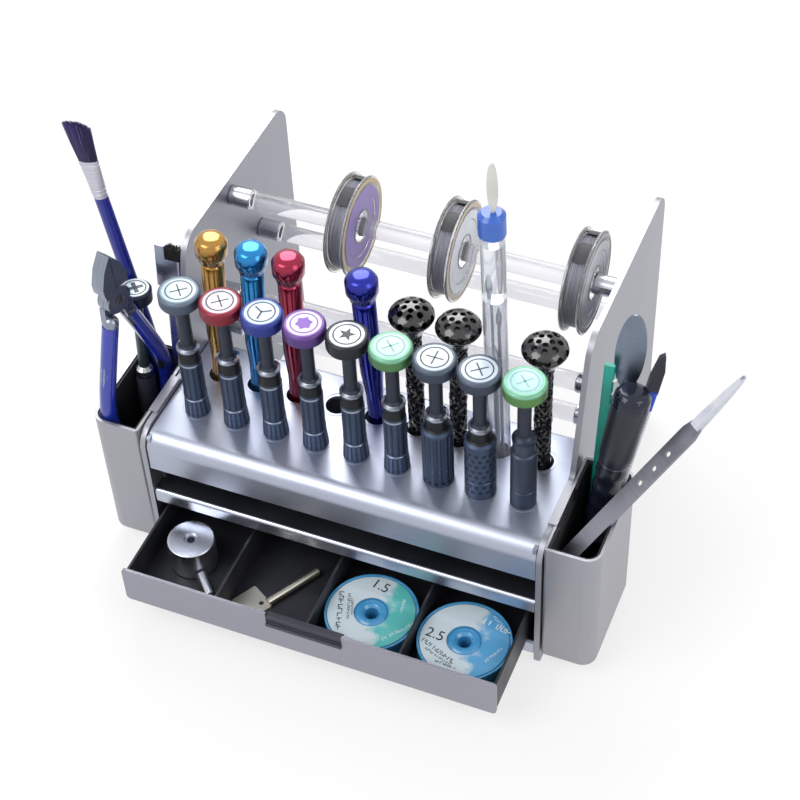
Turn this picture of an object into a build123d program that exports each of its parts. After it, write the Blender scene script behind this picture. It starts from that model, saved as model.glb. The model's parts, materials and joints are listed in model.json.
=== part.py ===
"""Hobby workstation organizer: a bench rack for precision drivers, with a drawer,
two side pockets and a spool rod.

Frame: +X to the right, +Y to the back, +Z up.  The origin is on the desk, on the mid-plane
between the two side plates, in line with the front row of tool holes.  All sizes are in mm.
"""

import os
from math import cos, radians, sin, sqrt

from build123d import *

os.makedirs("parts", exist_ok=True)


def finish_piece(piece, name):
    """Label one finished piece and write it to its own STEP file."""
    piece.label = name
    export_step(piece, f"parts/{name}.step")


def group_of(solids):
    """Several loose solids that share one node."""
    return Compound(children=list(solids))


def leaning_plane(foot, top, end_radius=0.0, face=(0, -1, 0)):
    """A plane at foot whose normal runs to top, with its local -Y side turned towards face.

    The foot is lifted so that the lowest edge of an end of end_radius keeps the foot's height.
    """
    axis = (Vector(*top) - Vector(*foot)).normalized()
    lift = end_radius * sqrt(max(0, 1 - axis.Z**2))
    sideways = axis.cross(Vector(*face)).normalized()
    return Plane(origin=Vector(*foot) + Vector(0, 0, lift), x_dir=sideways, z_dir=axis)


# --- driving dimensions -------------------------------------------------------------------

# cabinet
sheet = 2.0                      # deck cover metal
shelf_sheet = 1.5                # shelves and pockets
plate_thickness = 3.0            # side plates
inner_half_width = 109.5         # mid-plane to the inner face of a side plate
running_gap = 0.5                # cover and shelves to the side plates
seat_gap = 0.1                   # between pieces that rest on each other
front_y = -29.2                  # front face of the cover
cover_depth = 79.6               # front face to rear face of the cover
deck_top = 92.5                  # working height of the tool deck
cover_front_drop = 23.6          # height of the cover's front face
front_bend = 9.0                 # outer bend radius at the cover's front
rear_bend = 3.0
base_top = 15.7                  # top of the base shelf
shelf_top = 50.9                 # top of the middle shelf
lip_height = 8.5                 # front lip of both shelves
lip_bend = 2.0
flange_height = 10.0             # end flanges, where the screws go
deck_flange_length = 56.0

# tool deck
columns = 9
hole_pitch = 23.0
back_row_y = 28.2
hole_radius = 6.5
ring_radius = 8.4                # engraved ring round each hole
ring_line = 0.5
ring_depth = 0.25

# side plates
plate_front_overhang = 0.8       # side plate stands proud of the cover's front
plate_rise = 2.5                 # low part of the plate above the deck
fin_foot_y = 21.0                # where the fin's front edge leaves the low part
fin_shoulder_y = 41.0            # where it meets the fin's top edge
fin_top = 173.0
plate_rear_y = 164.5
foot_length = 24.0
foot_rise = 3.5

# rods
rod_radius = 5.0
collar_radius = 5.6
collar_length = 12.5
spigot_radius = 3.0
rod_spigot_length = 8.0
collar_spigot_length = 1.4
spigot_clearance = 0.1
spool_rod_at = (94.0, 161.4)     # (Y, Z) of each rod's axis
rear_rod_at = (122.0, 115.0)
front_rod_at = (69.4, 113.0)
low_rod_at = (69.4, 88.7)

# spools
spool_x = (-38.0, 20.2, 91.2)
spool_radius = 27.5
spool_width = 10.8
flange_thickness = 1.4
spool_bore_clearance = 0.4
hub_wall = 3.0
window_radius = 17.5
winding_radius = 24.6
winding_clearance = 0.1

# pockets
pocket_gap = 0.5                 # side plate to pocket
pocket_width = 28.5
pocket_depth = 65.5
pocket_front_y = -29.5
pocket_floor = 8.5               # underside of the pocket
pocket_rim = 96.0
pocket_corner = 8.0
pocket_inner_corner = 2.0
pocket_bottom_round = 3.0
tab_front_y = -13.0              # folded tab that hangs on the side plate
tab_rear_y = 14.0
liner_thickness = 1.2
liner_clearance = 0.15
liner_drop = 0.8                 # liner below the pocket's rim
liner_relief = 9.0               # liner lowered behind the tab

# drawer
drawer_out = 48.7                # how far the drawer stands open in the rest position
drawer_side_gap = 1.0
drawer_lift_gap = 0.3            # tray above the base shelf
tray_half_width = 105.0
tray_depth = 74.0
tray_height = 21.0
tray_wall = 1.4
tray_floor = 1.6
compartments = 4
drawer_front_half_width = 106.0
drawer_front_height = 24.6
drawer_front_thickness = 1.6
drawer_front_corner = 2.5
pull_half_width = 21.5
pull_drop = 9.0
pull_clearance = 0.1
pull_reach = 4.0

# drawer contents
bobbin_radius = 25.0
bobbin_height = 12.0
bobbin_rim = 1.3
bobbin_hub_radius = 8.5
bobbin_bore_radius = 3.6
cleaner_radius = 13.0
cleaner_height = 19.0
cleaner_bore_radius = 2.2
pin_radius = 3.3
pin_length = 16.0
scraper_blade = (17.0, 15.5)
scraper_blade_thickness = 1.2
scraper_handle_radius = 2.3
scraper_handle_length = 33.0

# front row drivers
cap_radius = 11.0
cap_height = 8.3
cap_top = 86.8                   # above the deck
cap_round = 1.6
cap_play = 0.3
disc_radius = 8.9
disc_recess = 0.3
pin_clearance = 0.08
driver_pin_radius = 1.5
driver_pin_length = 5.0
neck_radius = 3.5
barrel_radius = 6.2
wide_barrel_radius = 8.2
plain_barrel_radius = 6.8
barrel_top = 48.5
flare_height = 11.0
flare_radius = 6.95
nose_radius = 6.0
nose_length = 4.0
shank_radius = 2.0
blade_reach = 36.0               # driver tip below the deck
flat_count = 6
flute_count = 14

# back row tools, which stand on the middle shelf
knob_radius = 8.5
knob_height = 12.5
body_radius = 6.1
slim_radius = 4.6
slim_top = 16.0
taper_top = 34.0
knob_top = 101.0
lattice_radius = 5.0
mushroom_radius = 11.9
mushroom_height = 13.4
lattice_top = 75.0
mushroom_hole_radius = 2.1
tube_radius = 6.1
tube_wall = 1.0
tube_top = 148.5
tube_cap_radius = 6.8
tube_cap_height = 13.0
tube_tip_length = 28.0

# screws
screw_radius = 1.5
screw_head_radius = 2.9
screw_length = 7.0
screw_clearance = 0.1
screw_rows_y = (-12.0, 30.0)

# --- worked-out sizes ----------------------------------------------------------------------

rear_y = front_y + cover_depth
plate_outer = inner_half_width + plate_thickness
cover_half_width = inner_half_width - running_gap
inner_rear_y = rear_y - sheet
plate_low_top = deck_top + plate_rise
plate_front_y = front_y - plate_front_overhang
pocket_inner_x = plate_outer + pocket_gap
pocket_outer_x = pocket_inner_x + pocket_width
pocket_rear_y = pocket_front_y + pocket_depth
hole_columns = [(i - (columns - 1) / 2) * hole_pitch for i in range(columns)]
shelf_reach = deck_top - shelf_top - seat_gap        # deck to the foot of a back row tool
liner_floor = pocket_floor + shelf_sheet + seat_gap
pocket_seat = liner_floor + liner_thickness + seat_gap
sides = {"left": -1, "right": 1}


# --- deck cover: bent sheet with two rows of tool holes --------------------------------------

with BuildPart() as deck_cover:
    with BuildSketch(Plane.YZ) as cover_section:
        with BuildLine() as cover_line:
            FilletPolyline(
                (front_y, deck_top - cover_front_drop),
                (front_y, deck_top),
                (rear_y, deck_top),
                (rear_y, base_top + seat_gap),
                radius=(front_bend, rear_bend),
            )
            offset(amount=sheet, side=Side.RIGHT)
        make_face()
    extrude(amount=cover_half_width, both=True)
    flange_z = deck_top - sheet - flange_height / 2
    with Locations(*[(side * (cover_half_width - sheet / 2), 0, flange_z) for side in sides.values()]):
        Box(sheet, deck_flange_length, flange_height + sheet)
    with Locations((0, 0, deck_top)):
        with Locations(*[(x, y) for x in hole_columns for y in (0, back_row_y)]):
            Hole(radius=hole_radius, depth=sheet * 2)
    with BuildSketch(Plane.XY.offset(deck_top)) as rings:
        with Locations(*[(x, y) for x in hole_columns for y in (0, back_row_y)]):
            Circle(ring_radius)
            Circle(ring_radius - ring_line, mode=Mode.SUBTRACT)
    extrude(amount=-ring_depth, mode=Mode.SUBTRACT)
    deck_screw_z = deck_top - sheet - flange_height / 2
    with Locations(*[Location((0, y, deck_screw_z), (0, 90, 0)) for y in screw_rows_y]):
        Cylinder(screw_radius + screw_clearance, 2 * plate_outer, mode=Mode.SUBTRACT)
finish_piece(deck_cover.part, "deck_cover")


# --- shelves: plate with a front lip and two end flanges -------------------------------------


def shelf(top, rear, flange_up):
    """A folded shelf whose plate's upper face is at top; flanges stand up or hang down."""
    with BuildPart() as built:
        with BuildSketch(Plane.YZ):
            with BuildLine():
                FilletPolyline(
                    (front_y, top - lip_height),
                    (front_y, top),
                    (rear, top),
                    radius=(lip_bend,),
                )
                offset(amount=shelf_sheet, side=Side.RIGHT)
            make_face()
        extrude(amount=cover_half_width, both=True)
        flange_x = cover_half_width - shelf_sheet / 2
        flange_mid = top + (flange_height / 2 - shelf_sheet if flange_up else -flange_height / 2)
        flange_length = rear - front_y - 2 * flange_height
        with Locations(*[(s * flange_x, (front_y + rear) / 2, flange_mid) for s in sides.values()]):
            Box(shelf_sheet, flange_length, flange_height)
        screw_z = shelf_screw_z(top, flange_up)
        with Locations(*[Location((0, y, screw_z), (0, 90, 0)) for y in screw_rows_y]):
            Cylinder(screw_radius + screw_clearance, 2 * plate_outer, mode=Mode.SUBTRACT)
    return built.part


def shelf_screw_z(top, flange_up):
    """Height of the screws through a shelf's end flanges."""
    return top + (flange_height / 2 if flange_up else -flange_height / 2 - shelf_sheet)


middle_shelf = shelf(shelf_top, inner_rear_y - seat_gap, True)
finish_piece(middle_shelf, "middle_shelf")
base_shelf = shelf(base_top, rear_y, False)
finish_piece(base_shelf, "base_shelf")

screw_levels = (
    shelf_screw_z(base_top, False),
    shelf_screw_z(shelf_top, True),
    deck_top - sheet - flange_height / 2,
)


# --- side plates ------------------------------------------------------------------------------

rods_at = (spool_rod_at, rear_rod_at, front_rod_at, low_rod_at)


def side_plate(side):
    """One side plate: low part beside the deck and a tall fin behind it."""
    inner = Plane.YZ.offset(side * inner_half_width)
    outer = Plane.YZ.offset(side * plate_outer)
    with BuildPart() as built:
        with BuildSketch(inner):
            with BuildLine():
                FilletPolyline(
                    (plate_front_y, 0),
                    (plate_front_y, plate_low_top),
                    (fin_foot_y, plate_low_top),
                    (fin_shoulder_y, fin_top),
                    (plate_rear_y, fin_top),
                    (plate_rear_y, 0),
                    (plate_rear_y - foot_length, 0),
                    (plate_rear_y - foot_length - foot_rise, foot_rise),
                    (plate_front_y + foot_length + foot_rise, foot_rise),
                    (plate_front_y + foot_length, 0),
                    radius=(4, front_bend + 2, 5, 15, 13, 8, 1, 1, 1, 1),
                    close=True,
                )
            make_face()
        extrude(amount=side * plate_thickness)
        with BuildSketch(inner):
            with Locations(*rods_at):
                Circle(spigot_radius + spigot_clearance)
        extrude(amount=side * (collar_spigot_length + spigot_clearance), mode=Mode.SUBTRACT)
        with BuildSketch(outer):
            with Locations(*[(y, z) for y in screw_rows_y for z in screw_levels]):
                Circle(screw_head_radius + screw_clearance)
        extrude(amount=-side * screw_head_radius, taper=45, mode=Mode.SUBTRACT)
        with BuildSketch(inner):
            with Locations(*[(y, z) for y in screw_rows_y for z in screw_levels]):
                Circle(screw_radius + screw_clearance)
        extrude(amount=side * plate_thickness, mode=Mode.SUBTRACT)
    return built.part


for name, side in sides.items():
    finish_piece(side_plate(side), f"{name}_side_plate")


# --- countersunk screws that hold the cover and the shelves -------------------------------------

head_depth = screw_head_radius - screw_radius
with BuildPart() as one_screw:
    with BuildSketch(Plane.XZ):
        with BuildLine():
            Polyline(
                (0, 0),
                (0, -screw_length),
                (screw_radius, -screw_length),
                (screw_radius, -head_depth),
                (screw_head_radius, -seat_gap),
                (screw_head_radius, 0),
                close=True,
            )
        make_face()
    revolve(axis=Axis.Z)
    with BuildSketch(Plane.XY):
        RegularPolygon(screw_radius * 0.7, 6)
    extrude(amount=-head_depth, mode=Mode.SUBTRACT)
screws = [
    Plane(origin=(side * plate_outer, y, z), z_dir=(side, 0, 0)) * one_screw.part
    for side in sides.values()
    for y in screw_rows_y
    for z in screw_levels
]
finish_piece(group_of(screws), "shelf_screws")


# --- clear rods and their collars ------------------------------------------------------------

rod_half_length = inner_half_width - collar_length


def rod(at):
    """A clear rod between two collars, with a turned spigot at each end."""
    with BuildPart() as built:
        with BuildSketch(Plane.YZ):
            with Locations(at):
                Circle(rod_radius)
        extrude(amount=rod_half_length - seat_gap, both=True)
        with BuildSketch(Plane.YZ):
            with Locations(at):
                Circle(spigot_radius)
        extrude(amount=rod_half_length + rod_spigot_length, both=True)
    return built.part


def collar(at, side):
    """A turned collar that seats on the side plate and takes the rod's spigot."""
    with BuildPart() as built:
        with BuildSketch(Plane.YZ.offset(side * inner_half_width)):
            with Locations(at):
                Circle(collar_radius)
        extrude(amount=-side * collar_length)
        chamfer(built.edges().filter_by(GeomType.CIRCLE), 0.5)
        with BuildSketch(Plane.YZ.offset(side * rod_half_length)):
            with Locations(at):
                Circle(spigot_radius + spigot_clearance)
        extrude(amount=side * (rod_spigot_length + spigot_clearance), mode=Mode.SUBTRACT)
        with BuildSketch(Plane.YZ.offset(side * inner_half_width)):
            with Locations(at):
                Circle(spigot_radius)
        extrude(amount=side * collar_spigot_length)
    return built.part


finish_piece(group_of([rod(at) for at in rods_at]), "clear_rods")
finish_piece(group_of([collar(at, side) for at in rods_at for side in sides.values()]), "rod_collars")


# --- spools ----------------------------------------------------------------------------------

spool_bore = rod_radius + spool_bore_clearance
hub_radius = spool_bore + hub_wall


def spool_bobbin(x):
    """A clear bobbin: two flanges on a hub that runs on the rod."""
    centre = Plane(origin=(x, *spool_rod_at), x_dir=(0, 1, 0), z_dir=(1, 0, 0))
    with BuildPart() as built:
        with BuildSketch(centre.offset(-spool_width / 2)):
            Circle(hub_radius)
        extrude(amount=spool_width)
        for start in (-spool_width / 2, spool_width / 2 - flange_thickness):
            with BuildSketch(centre.offset(start)):
                Circle(spool_radius)
            extrude(amount=flange_thickness)
        fillet(built.edges().filter_by(GeomType.CIRCLE).group_by(SortBy.RADIUS)[-1], flange_thickness * 0.3)
        for face in (-spool_width / 2, spool_width / 2):
            with BuildSketch(centre.offset(face)):
                Circle(window_radius)
                Circle(hub_radius + 1, mode=Mode.SUBTRACT)
            extrude(amount=-flange_thickness / 3 if face > 0 else flange_thickness / 3, mode=Mode.SUBTRACT)
        with BuildSketch(centre):
            Circle(spool_bore)
        extrude(amount=spool_width, both=True, mode=Mode.SUBTRACT)
    return built.part


def winding(x):
    """The wound strip between a spool's flanges."""
    centre = Plane(origin=(x, *spool_rod_at), x_dir=(0, 1, 0), z_dir=(1, 0, 0))
    with BuildPart() as built:
        with BuildSketch(centre):
            Circle(winding_radius)
            Circle(hub_radius + winding_clearance, mode=Mode.SUBTRACT)
        extrude(amount=spool_width / 2 - flange_thickness - winding_clearance, both=True)
        fillet(built.edges().filter_by(GeomType.CIRCLE).group_by(SortBy.RADIUS)[-1], 0.5)
    return built.part


for number, x in enumerate(spool_x, start=1):
    finish_piece(spool_bobbin(x), f"spool_{number}")
    finish_piece(winding(x), f"winding_{number}")


# --- side pockets ----------------------------------------------------------------------------

pocket_mid_y = (pocket_front_y + pocket_rear_y) / 2


def pocket_outline(side, inset, corner_cut):
    """Pocket plan, inset from its outer faces: large corners outside, small ones at the plate."""
    near = side * (pocket_inner_x + inset)
    far = side * (pocket_outer_x - inset)
    front = pocket_front_y + inset
    rear = pocket_rear_y - inset
    outer_corner = pocket_corner - corner_cut
    near_corner = max(pocket_inner_corner - corner_cut, 0.4)
    with BuildSketch(mode=Mode.PRIVATE) as plan:
        with BuildLine():
            FilletPolyline(
                (near, front),
                (far, front),
                (far, rear),
                (near, rear),
                radius=(near_corner, outer_corner, outer_corner, near_corner),
                close=True,
            )
        make_face()
    return plan.sketch


def side_pocket(side):
    """A folded pocket with a floor and a tab that hangs on the side plate."""
    with BuildPart() as built:
        with BuildSketch(Plane.XY.offset(pocket_floor)):
            add(pocket_outline(side, 0, 0))
        extrude(amount=pocket_rim - pocket_floor)
        fillet(built.faces().sort_by(Axis.Z)[0].edges(), pocket_inner_corner * 0.9)
        with BuildSketch(Plane.XY.offset(pocket_floor + shelf_sheet)):
            add(pocket_outline(side, shelf_sheet, shelf_sheet))
        extrude(amount=pocket_rim, mode=Mode.SUBTRACT)
        tab_low = plate_low_top + seat_gap
        tab_in = inner_half_width + seat_gap
        tab_out = pocket_inner_x + shelf_sheet
        with BuildSketch(Plane.XZ.offset(-(tab_front_y + tab_rear_y) / 2)):
            with Locations((side * (tab_in + tab_out) / 2, tab_low + shelf_sheet / 2)):
                Rectangle(tab_out - tab_in, shelf_sheet)
        extrude(amount=(tab_rear_y - tab_front_y) / 2, both=True)
    return built.part


def pocket_liner(side):
    """The dark lining inside a pocket, lower behind the folded tab."""
    inset = shelf_sheet + liner_clearance
    floor = liner_floor
    top = pocket_rim - liner_drop
    with BuildPart() as built:
        with BuildSketch(Plane.XY.offset(floor)):
            add(pocket_outline(side, inset, inset))
        extrude(amount=top - floor)
        with BuildSketch(Plane.XY.offset(floor + liner_thickness)):
            add(pocket_outline(side, inset + liner_thickness, inset + liner_thickness))
        extrude(amount=top, mode=Mode.SUBTRACT)
        with Locations((side * (pocket_inner_x + inset), (tab_front_y + tab_rear_y) / 2, top)):
            Box(
                2 * liner_thickness + inset,
                tab_rear_y - tab_front_y,
                2 * liner_relief,
                mode=Mode.SUBTRACT,
            )
    return built.part


for name, side in sides.items():
    finish_piece(side_pocket(side), f"{name}_pocket")
finish_piece(group_of([pocket_liner(side) for side in sides.values()]), "pocket_liners")


# --- drawer ----------------------------------------------------------------------------------

tray_front_y = front_y - drawer_out + drawer_front_thickness + seat_gap
tray_bottom = base_top + drawer_lift_gap
compartment_pitch = (2 * tray_half_width - tray_wall) / compartments
compartment_x = [(i - (compartments - 1) / 2) * compartment_pitch for i in range(compartments)]

with BuildPart() as drawer_tray:
    with BuildSketch(Plane.XY.offset(tray_bottom)):
        with Locations((0, tray_front_y + tray_depth / 2)):
            RectangleRounded(2 * tray_half_width, tray_depth, 1.5)
    extrude(amount=tray_height)
    with BuildSketch(Plane.XY.offset(tray_bottom + tray_floor)):
        with Locations(*[(x, tray_front_y + tray_depth / 2) for x in compartment_x]):
            RectangleRounded(compartment_pitch - tray_wall, tray_depth - 2 * tray_wall, 1.2)
    extrude(amount=tray_height, mode=Mode.SUBTRACT)
    with BuildSketch(Plane.XZ.offset(-tray_front_y)):
        with Locations((0, tray_bottom + tray_height)):
            Rectangle(2 * pull_half_width, 2 * (pull_drop - 2.0))
    extrude(amount=-tray_wall, mode=Mode.SUBTRACT)
finish_piece(drawer_tray.part, "drawer_tray")

drawer_face_y = front_y - drawer_out
drawer_front_top = tray_bottom + drawer_front_height
with BuildPart() as drawer_front:
    with BuildSketch(Plane.XZ.offset(-drawer_face_y)):
        with Locations((0, tray_bottom + drawer_front_height / 2)):
            RectangleRounded(2 * drawer_front_half_width, drawer_front_height, drawer_front_corner)
        with Locations((0, drawer_front_top)):
            Rectangle(2 * pull_half_width, 2 * pull_drop, mode=Mode.SUBTRACT)
    extrude(amount=-drawer_front_thickness)
finish_piece(drawer_front.part, "drawer_front")

pull_bottom = drawer_front_top - pull_drop + pull_clearance
pull_width = 2 * (pull_half_width - pull_clearance)
with BuildPart() as finger_pull:
    with BuildSketch(Plane.YZ):
        with BuildLine():
            FilletPolyline(
                (drawer_face_y + drawer_front_thickness, pull_bottom),
                (drawer_face_y - 1.2, pull_bottom),
                (drawer_face_y - 1.2, pull_bottom + 2.2),
                (drawer_face_y + 0.4, pull_bottom + 2.2),
                (drawer_face_y + 0.4, drawer_front_top - 1.6),
                (drawer_face_y + pull_reach, drawer_front_top - 1.6),
                (drawer_face_y + pull_reach, tray_bottom + tray_height + seat_gap),
                (drawer_face_y + drawer_front_thickness, tray_bottom + tray_height + seat_gap),
                radius=0.3,
                close=True,
            )
        make_face()
    extrude(amount=pull_width / 2, both=True)
finish_piece(finger_pull.part, "finger_pull")


# --- what lies in the drawer -------------------------------------------------------------------

content_floor = tray_bottom + tray_floor + seat_gap
bobbin_y = tray_front_y + tray_wall + bobbin_radius + 0.4


def wick_bobbin(x):
    """A closed round bobbin lying flat, with a raised rim, a hub and a through bore."""
    with BuildPart() as built:
        with BuildSketch(Plane.XZ):
            with BuildLine():
                FilletPolyline(
                    (bobbin_bore_radius, 0),
                    (bobbin_radius, 0),
                    (bobbin_radius, bobbin_height),
                    (bobbin_radius - bobbin_rim, bobbin_height),
                    (bobbin_radius - bobbin_rim, bobbin_height - 0.7),
                    (bobbin_hub_radius, bobbin_height - 0.7),
                    (bobbin_hub_radius - 1, bobbin_height),
                    (bobbin_bore_radius + 1.5, bobbin_height),
                    (bobbin_bore_radius, bobbin_height - 1.5),
                    radius=0.3,
                    close=True,
                )
            make_face()
        revolve(axis=Axis.Z)
    return Location((x, bobbin_y, content_floor)) * built.part


finish_piece(group_of([wick_bobbin(x) for x in compartment_x[2:]]), "wick_bobbins")

cleaner_x = compartment_x[0] - 4
cleaner_y = tray_front_y + tray_depth / 2 - 4
with BuildPart() as tip_cleaner:
    with Locations((cleaner_x, cleaner_y, content_floor)):
        Cylinder(
            cleaner_radius, cleaner_height, align=(Align.CENTER, Align.CENTER, Align.MIN)
        )
    fillet(tip_cleaner.edges().filter_by(GeomType.CIRCLE), 1.0)
    with Locations((cleaner_x, cleaner_y, content_floor + cleaner_height)):
        CounterBoreHole(cleaner_bore_radius, cleaner_bore_radius * 1.8, 1.2, depth=12)
with BuildPart() as loose_pin:
    Cylinder(pin_radius, pin_length, align=(Align.CENTER, Align.CENTER, Align.MIN))
    fillet(loose_pin.edges().filter_by(GeomType.CIRCLE), 0.5)
pin_way = (0.69, -0.72)
pin_start = cleaner_radius + 0.8
pin_foot = (
    cleaner_x + pin_start * pin_way[0],
    cleaner_y + pin_start * pin_way[1],
    content_floor + pin_radius,
)
pin_plane = Plane(origin=pin_foot, z_dir=(*pin_way, 0))
finish_piece(group_of([tip_cleaner.part, pin_plane * loose_pin.part]), "tip_cleaner")

scraper_turn = -30.4
blade_middle = (-6.0, -22.75)
blade_top = blade_middle[1] + scraper_blade[1] / 2
with BuildPart() as scraper:
    with BuildSketch(Plane.XY):
        with Locations(blade_middle):
            RectangleRounded(*scraper_blade, 1.0)
        with Locations((-2.6, blade_top - 4.0)):
            Circle(1.3, mode=Mode.SUBTRACT)
    extrude(amount=scraper_blade_thickness)
    with BuildSketch(Plane.XZ.offset(1.5 - blade_top)):
        with Locations((0, scraper_blade_thickness + scraper_handle_radius * 0.6)):
            Circle(scraper_handle_radius)
    extrude(amount=-scraper_handle_length)
scraper_x = compartment_x[1] + 2.9
scraper_y = tray_front_y + 33.7
scraper_spot = Location((scraper_x, scraper_y, content_floor), (0, 0, scraper_turn))
finish_piece(scraper_spot * scraper.part, "scraper")


# --- front row of precision drivers ------------------------------------------------------------

cap_bottom = cap_top - cap_height
barrel_styles = {7: "fluted", 8: "dimpled", 9: "plain"}


def driver_profile(style):
    """Half section of a driver above and below the deck, as (radius, height over the deck)."""
    wide = style in ("fluted", "dimpled")
    barrel = wide_barrel_radius if wide else plain_barrel_radius if style else barrel_radius
    foot = barrel if style else flare_radius
    pin_top = cap_bottom + driver_pin_length
    return [
        (0, -blade_reach),
        (0.8, -blade_reach),
        (1.1, -blade_reach + 5),
        (shank_radius, -blade_reach + 8),
        (shank_radius, -nose_length - 1),
        (nose_radius, -nose_length),
        (nose_radius, seat_gap),
        (foot, seat_gap),
        (barrel, flare_height),
        (barrel - 0.5, flare_height + 0.5),
        (barrel, flare_height + 1.0),
        (barrel, 37.5),
        (barrel_radius - 0.4, 39.5 if wide else 38.4),
        (barrel_radius - 0.4, 46.0),
        (barrel_radius, 46.6),
        (barrel_radius, 47.6),
        (neck_radius + 0.9, barrel_top),
        (neck_radius, barrel_top + 1.2),
        (neck_radius, cap_bottom - cap_play),
        (driver_pin_radius, cap_bottom - cap_play),
        (driver_pin_radius, pin_top),
        (0, pin_top),
    ]


def driver(number):
    """One precision driver, standing at the origin with the deck at height 0."""
    style = barrel_styles.get(number)
    with BuildPart() as built:
        with BuildSketch(Plane.XZ):
            with BuildLine():
                Polyline(*driver_profile(style), close=True)
            make_face()
        revolve(axis=Axis.Z)
        if style == "fluted":
            with BuildSketch(Plane.XY.offset(2)):
                with PolarLocations(wide_barrel_radius + 0.5, flute_count):
                    Circle(1.2)
            extrude(amount=34, mode=Mode.SUBTRACT)
        elif style is None:
            flat_radius = barrel_radius - 0.25
            with BuildSketch(Plane.XY.offset(flare_height + 3)):
                Circle(barrel_radius + 1)
                RegularPolygon(flat_radius, flat_count, major_radius=False, mode=Mode.SUBTRACT)
            extrude(amount=20, mode=Mode.SUBTRACT)
    return built.part


with BuildPart() as cap:
    with Locations((0, 0, cap_bottom)):
        Cylinder(cap_radius, cap_height, align=(Align.CENTER, Align.CENTER, Align.MIN))
    fillet(cap.edges().filter_by(GeomType.CIRCLE), cap_round)
    with BuildSketch(Plane.XY.offset(cap_top)):
        Circle(disc_radius)
    extrude(amount=-disc_recess, mode=Mode.SUBTRACT)
    with BuildSketch(Plane.XY.offset(cap_bottom)):
        Circle(driver_pin_radius + pin_clearance)
    extrude(amount=driver_pin_length + cap_play, mode=Mode.SUBTRACT)

for number, x in enumerate(hole_columns, start=1):
    standing = Location((x, 0, deck_top))
    finish_piece(standing * driver(number), f"driver_{number}")
    finish_piece(standing * cap.part, f"cap_{number}")


# --- back row tools ------------------------------------------------------------------------------


def back_row_plane(column, lean):
    """Plane of a tool in the back row, leaning sideways by lean mm over its height."""
    return Plane(
        origin=(hole_columns[column], back_row_y, deck_top),
        x_dir=(cos(radians(lean)), 0, -sin(radians(lean))),
        z_dir=(sin(radians(lean)), 0, cos(radians(lean))),
    )


def turned_tool(profile):
    """A turned tool from its half section."""
    with BuildPart() as built:
        with BuildSketch(Plane.XZ):
            with BuildLine():
                Polyline(*profile, close=True)
            make_face()
        revolve(axis=Axis.Z)
    return built.part


knob_profile = [
    (0, -shelf_reach + seat_gap),
    (1.2, -shelf_reach + seat_gap),
    (slim_radius - 1, -shelf_reach + 8),
    (slim_radius, -shelf_reach + 14),
    (slim_radius, slim_top),
    (body_radius, taper_top),
    (body_radius, knob_top - knob_height - 6),
    (body_radius - 0.8, knob_top - knob_height - 5),
    (body_radius + 0.8, knob_top - knob_height - 3),
    (body_radius + 0.8, knob_top - knob_height - 1),
    (knob_radius, knob_top - knob_height + 1.5),
    (knob_radius, knob_top - 4),
    (knob_radius - 1.6, knob_top - 1.4),
    (knob_radius - 4.5, knob_top - 0.2),
    (0, knob_top),
]
with BuildPart() as knob_driver:
    add(turned_tool(knob_profile))
    with BuildSketch(Plane.XY.offset(-shelf_reach / 2)):
        with PolarLocations(slim_radius + 0.4, 8):
            Circle(0.8)
    extrude(amount=slim_top + shelf_reach / 2, mode=Mode.SUBTRACT)

knob_drivers = {
    "gold_driver": (0, 3.2),
    "sky_driver": (1, 2.8),
    "red_driver": (2, 1.4),
    "navy_driver": (4, -2.3),
}
for name, (column, lean) in knob_drivers.items():
    finish_piece(back_row_plane(column, lean) * knob_driver.part, name)

mushroom_top = lattice_top + mushroom_height
lattice_profile = [
    (0, -shelf_reach + seat_gap),
    (lattice_radius - 2, -shelf_reach + seat_gap),
    (lattice_radius, -shelf_reach + 3),
    (lattice_radius, lattice_top - 6),
    (lattice_radius + 2.5, lattice_top),
    (mushroom_radius - 1, lattice_top + 4),
    (mushroom_radius, lattice_top + 6.4),
    (mushroom_radius - 0.7, mushroom_top - 4.8),
    (mushroom_radius - 2.7, mushroom_top - 2.6),
    (mushroom_radius - 5.9, mushroom_top - 0.9),
    (mushroom_radius - 9.2, mushroom_top - 0.1),
    (0, mushroom_top),
]
with BuildPart() as lattice_driver:
    add(turned_tool(lattice_profile))
    with BuildSketch(Plane.XY.offset(mushroom_top)):
        with PolarLocations(mushroom_radius * 0.66, 8):
            Circle(mushroom_hole_radius)
        with PolarLocations(mushroom_radius * 0.28, 4):
            Circle(mushroom_hole_radius * 0.7)
    extrude(amount=-7, mode=Mode.SUBTRACT)
lattice_leans = {5: -0.4, 6: 1.0, 8: 0.3}
for number, (column, lean) in enumerate(lattice_leans.items(), start=1):
    finish_piece(back_row_plane(column, lean) * lattice_driver.part, f"lattice_driver_{number}")

case_lean = -1.5
case_foot = -shelf_reach + tube_radius * sin(radians(abs(case_lean)))
with BuildPart() as clear_case:
    with BuildSketch(Plane.XY.offset(case_foot)):
        Circle(tube_radius)
    extrude(amount=tube_top - case_foot)
    with BuildSketch(Plane.XY.offset(case_foot + tube_wall)):
        Circle(tube_radius - tube_wall)
    extrude(amount=tube_top, mode=Mode.SUBTRACT)
tube_cap_profile = [
    (0, tube_top - 6),
    (tube_radius - tube_wall - 0.1, tube_top - 6),
    (tube_radius - tube_wall - 0.1, tube_top + seat_gap),
    (tube_cap_radius, tube_top + seat_gap),
    (tube_cap_radius, tube_top + tube_cap_height - 2),
    (tube_cap_radius - 2, tube_top + tube_cap_height),
    (0, tube_top + tube_cap_height),
]
with BuildPart() as case_top:
    add(turned_tool(tube_cap_profile))
    with BuildSketch(Plane.XZ):
        with Locations((0.8, tube_top + tube_cap_height + tube_tip_length / 2)):
            Ellipse(2.6, tube_tip_length / 2 + 0.5)
    extrude(amount=0.8, both=True)
case_plane = back_row_plane(7, case_lean)
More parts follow.
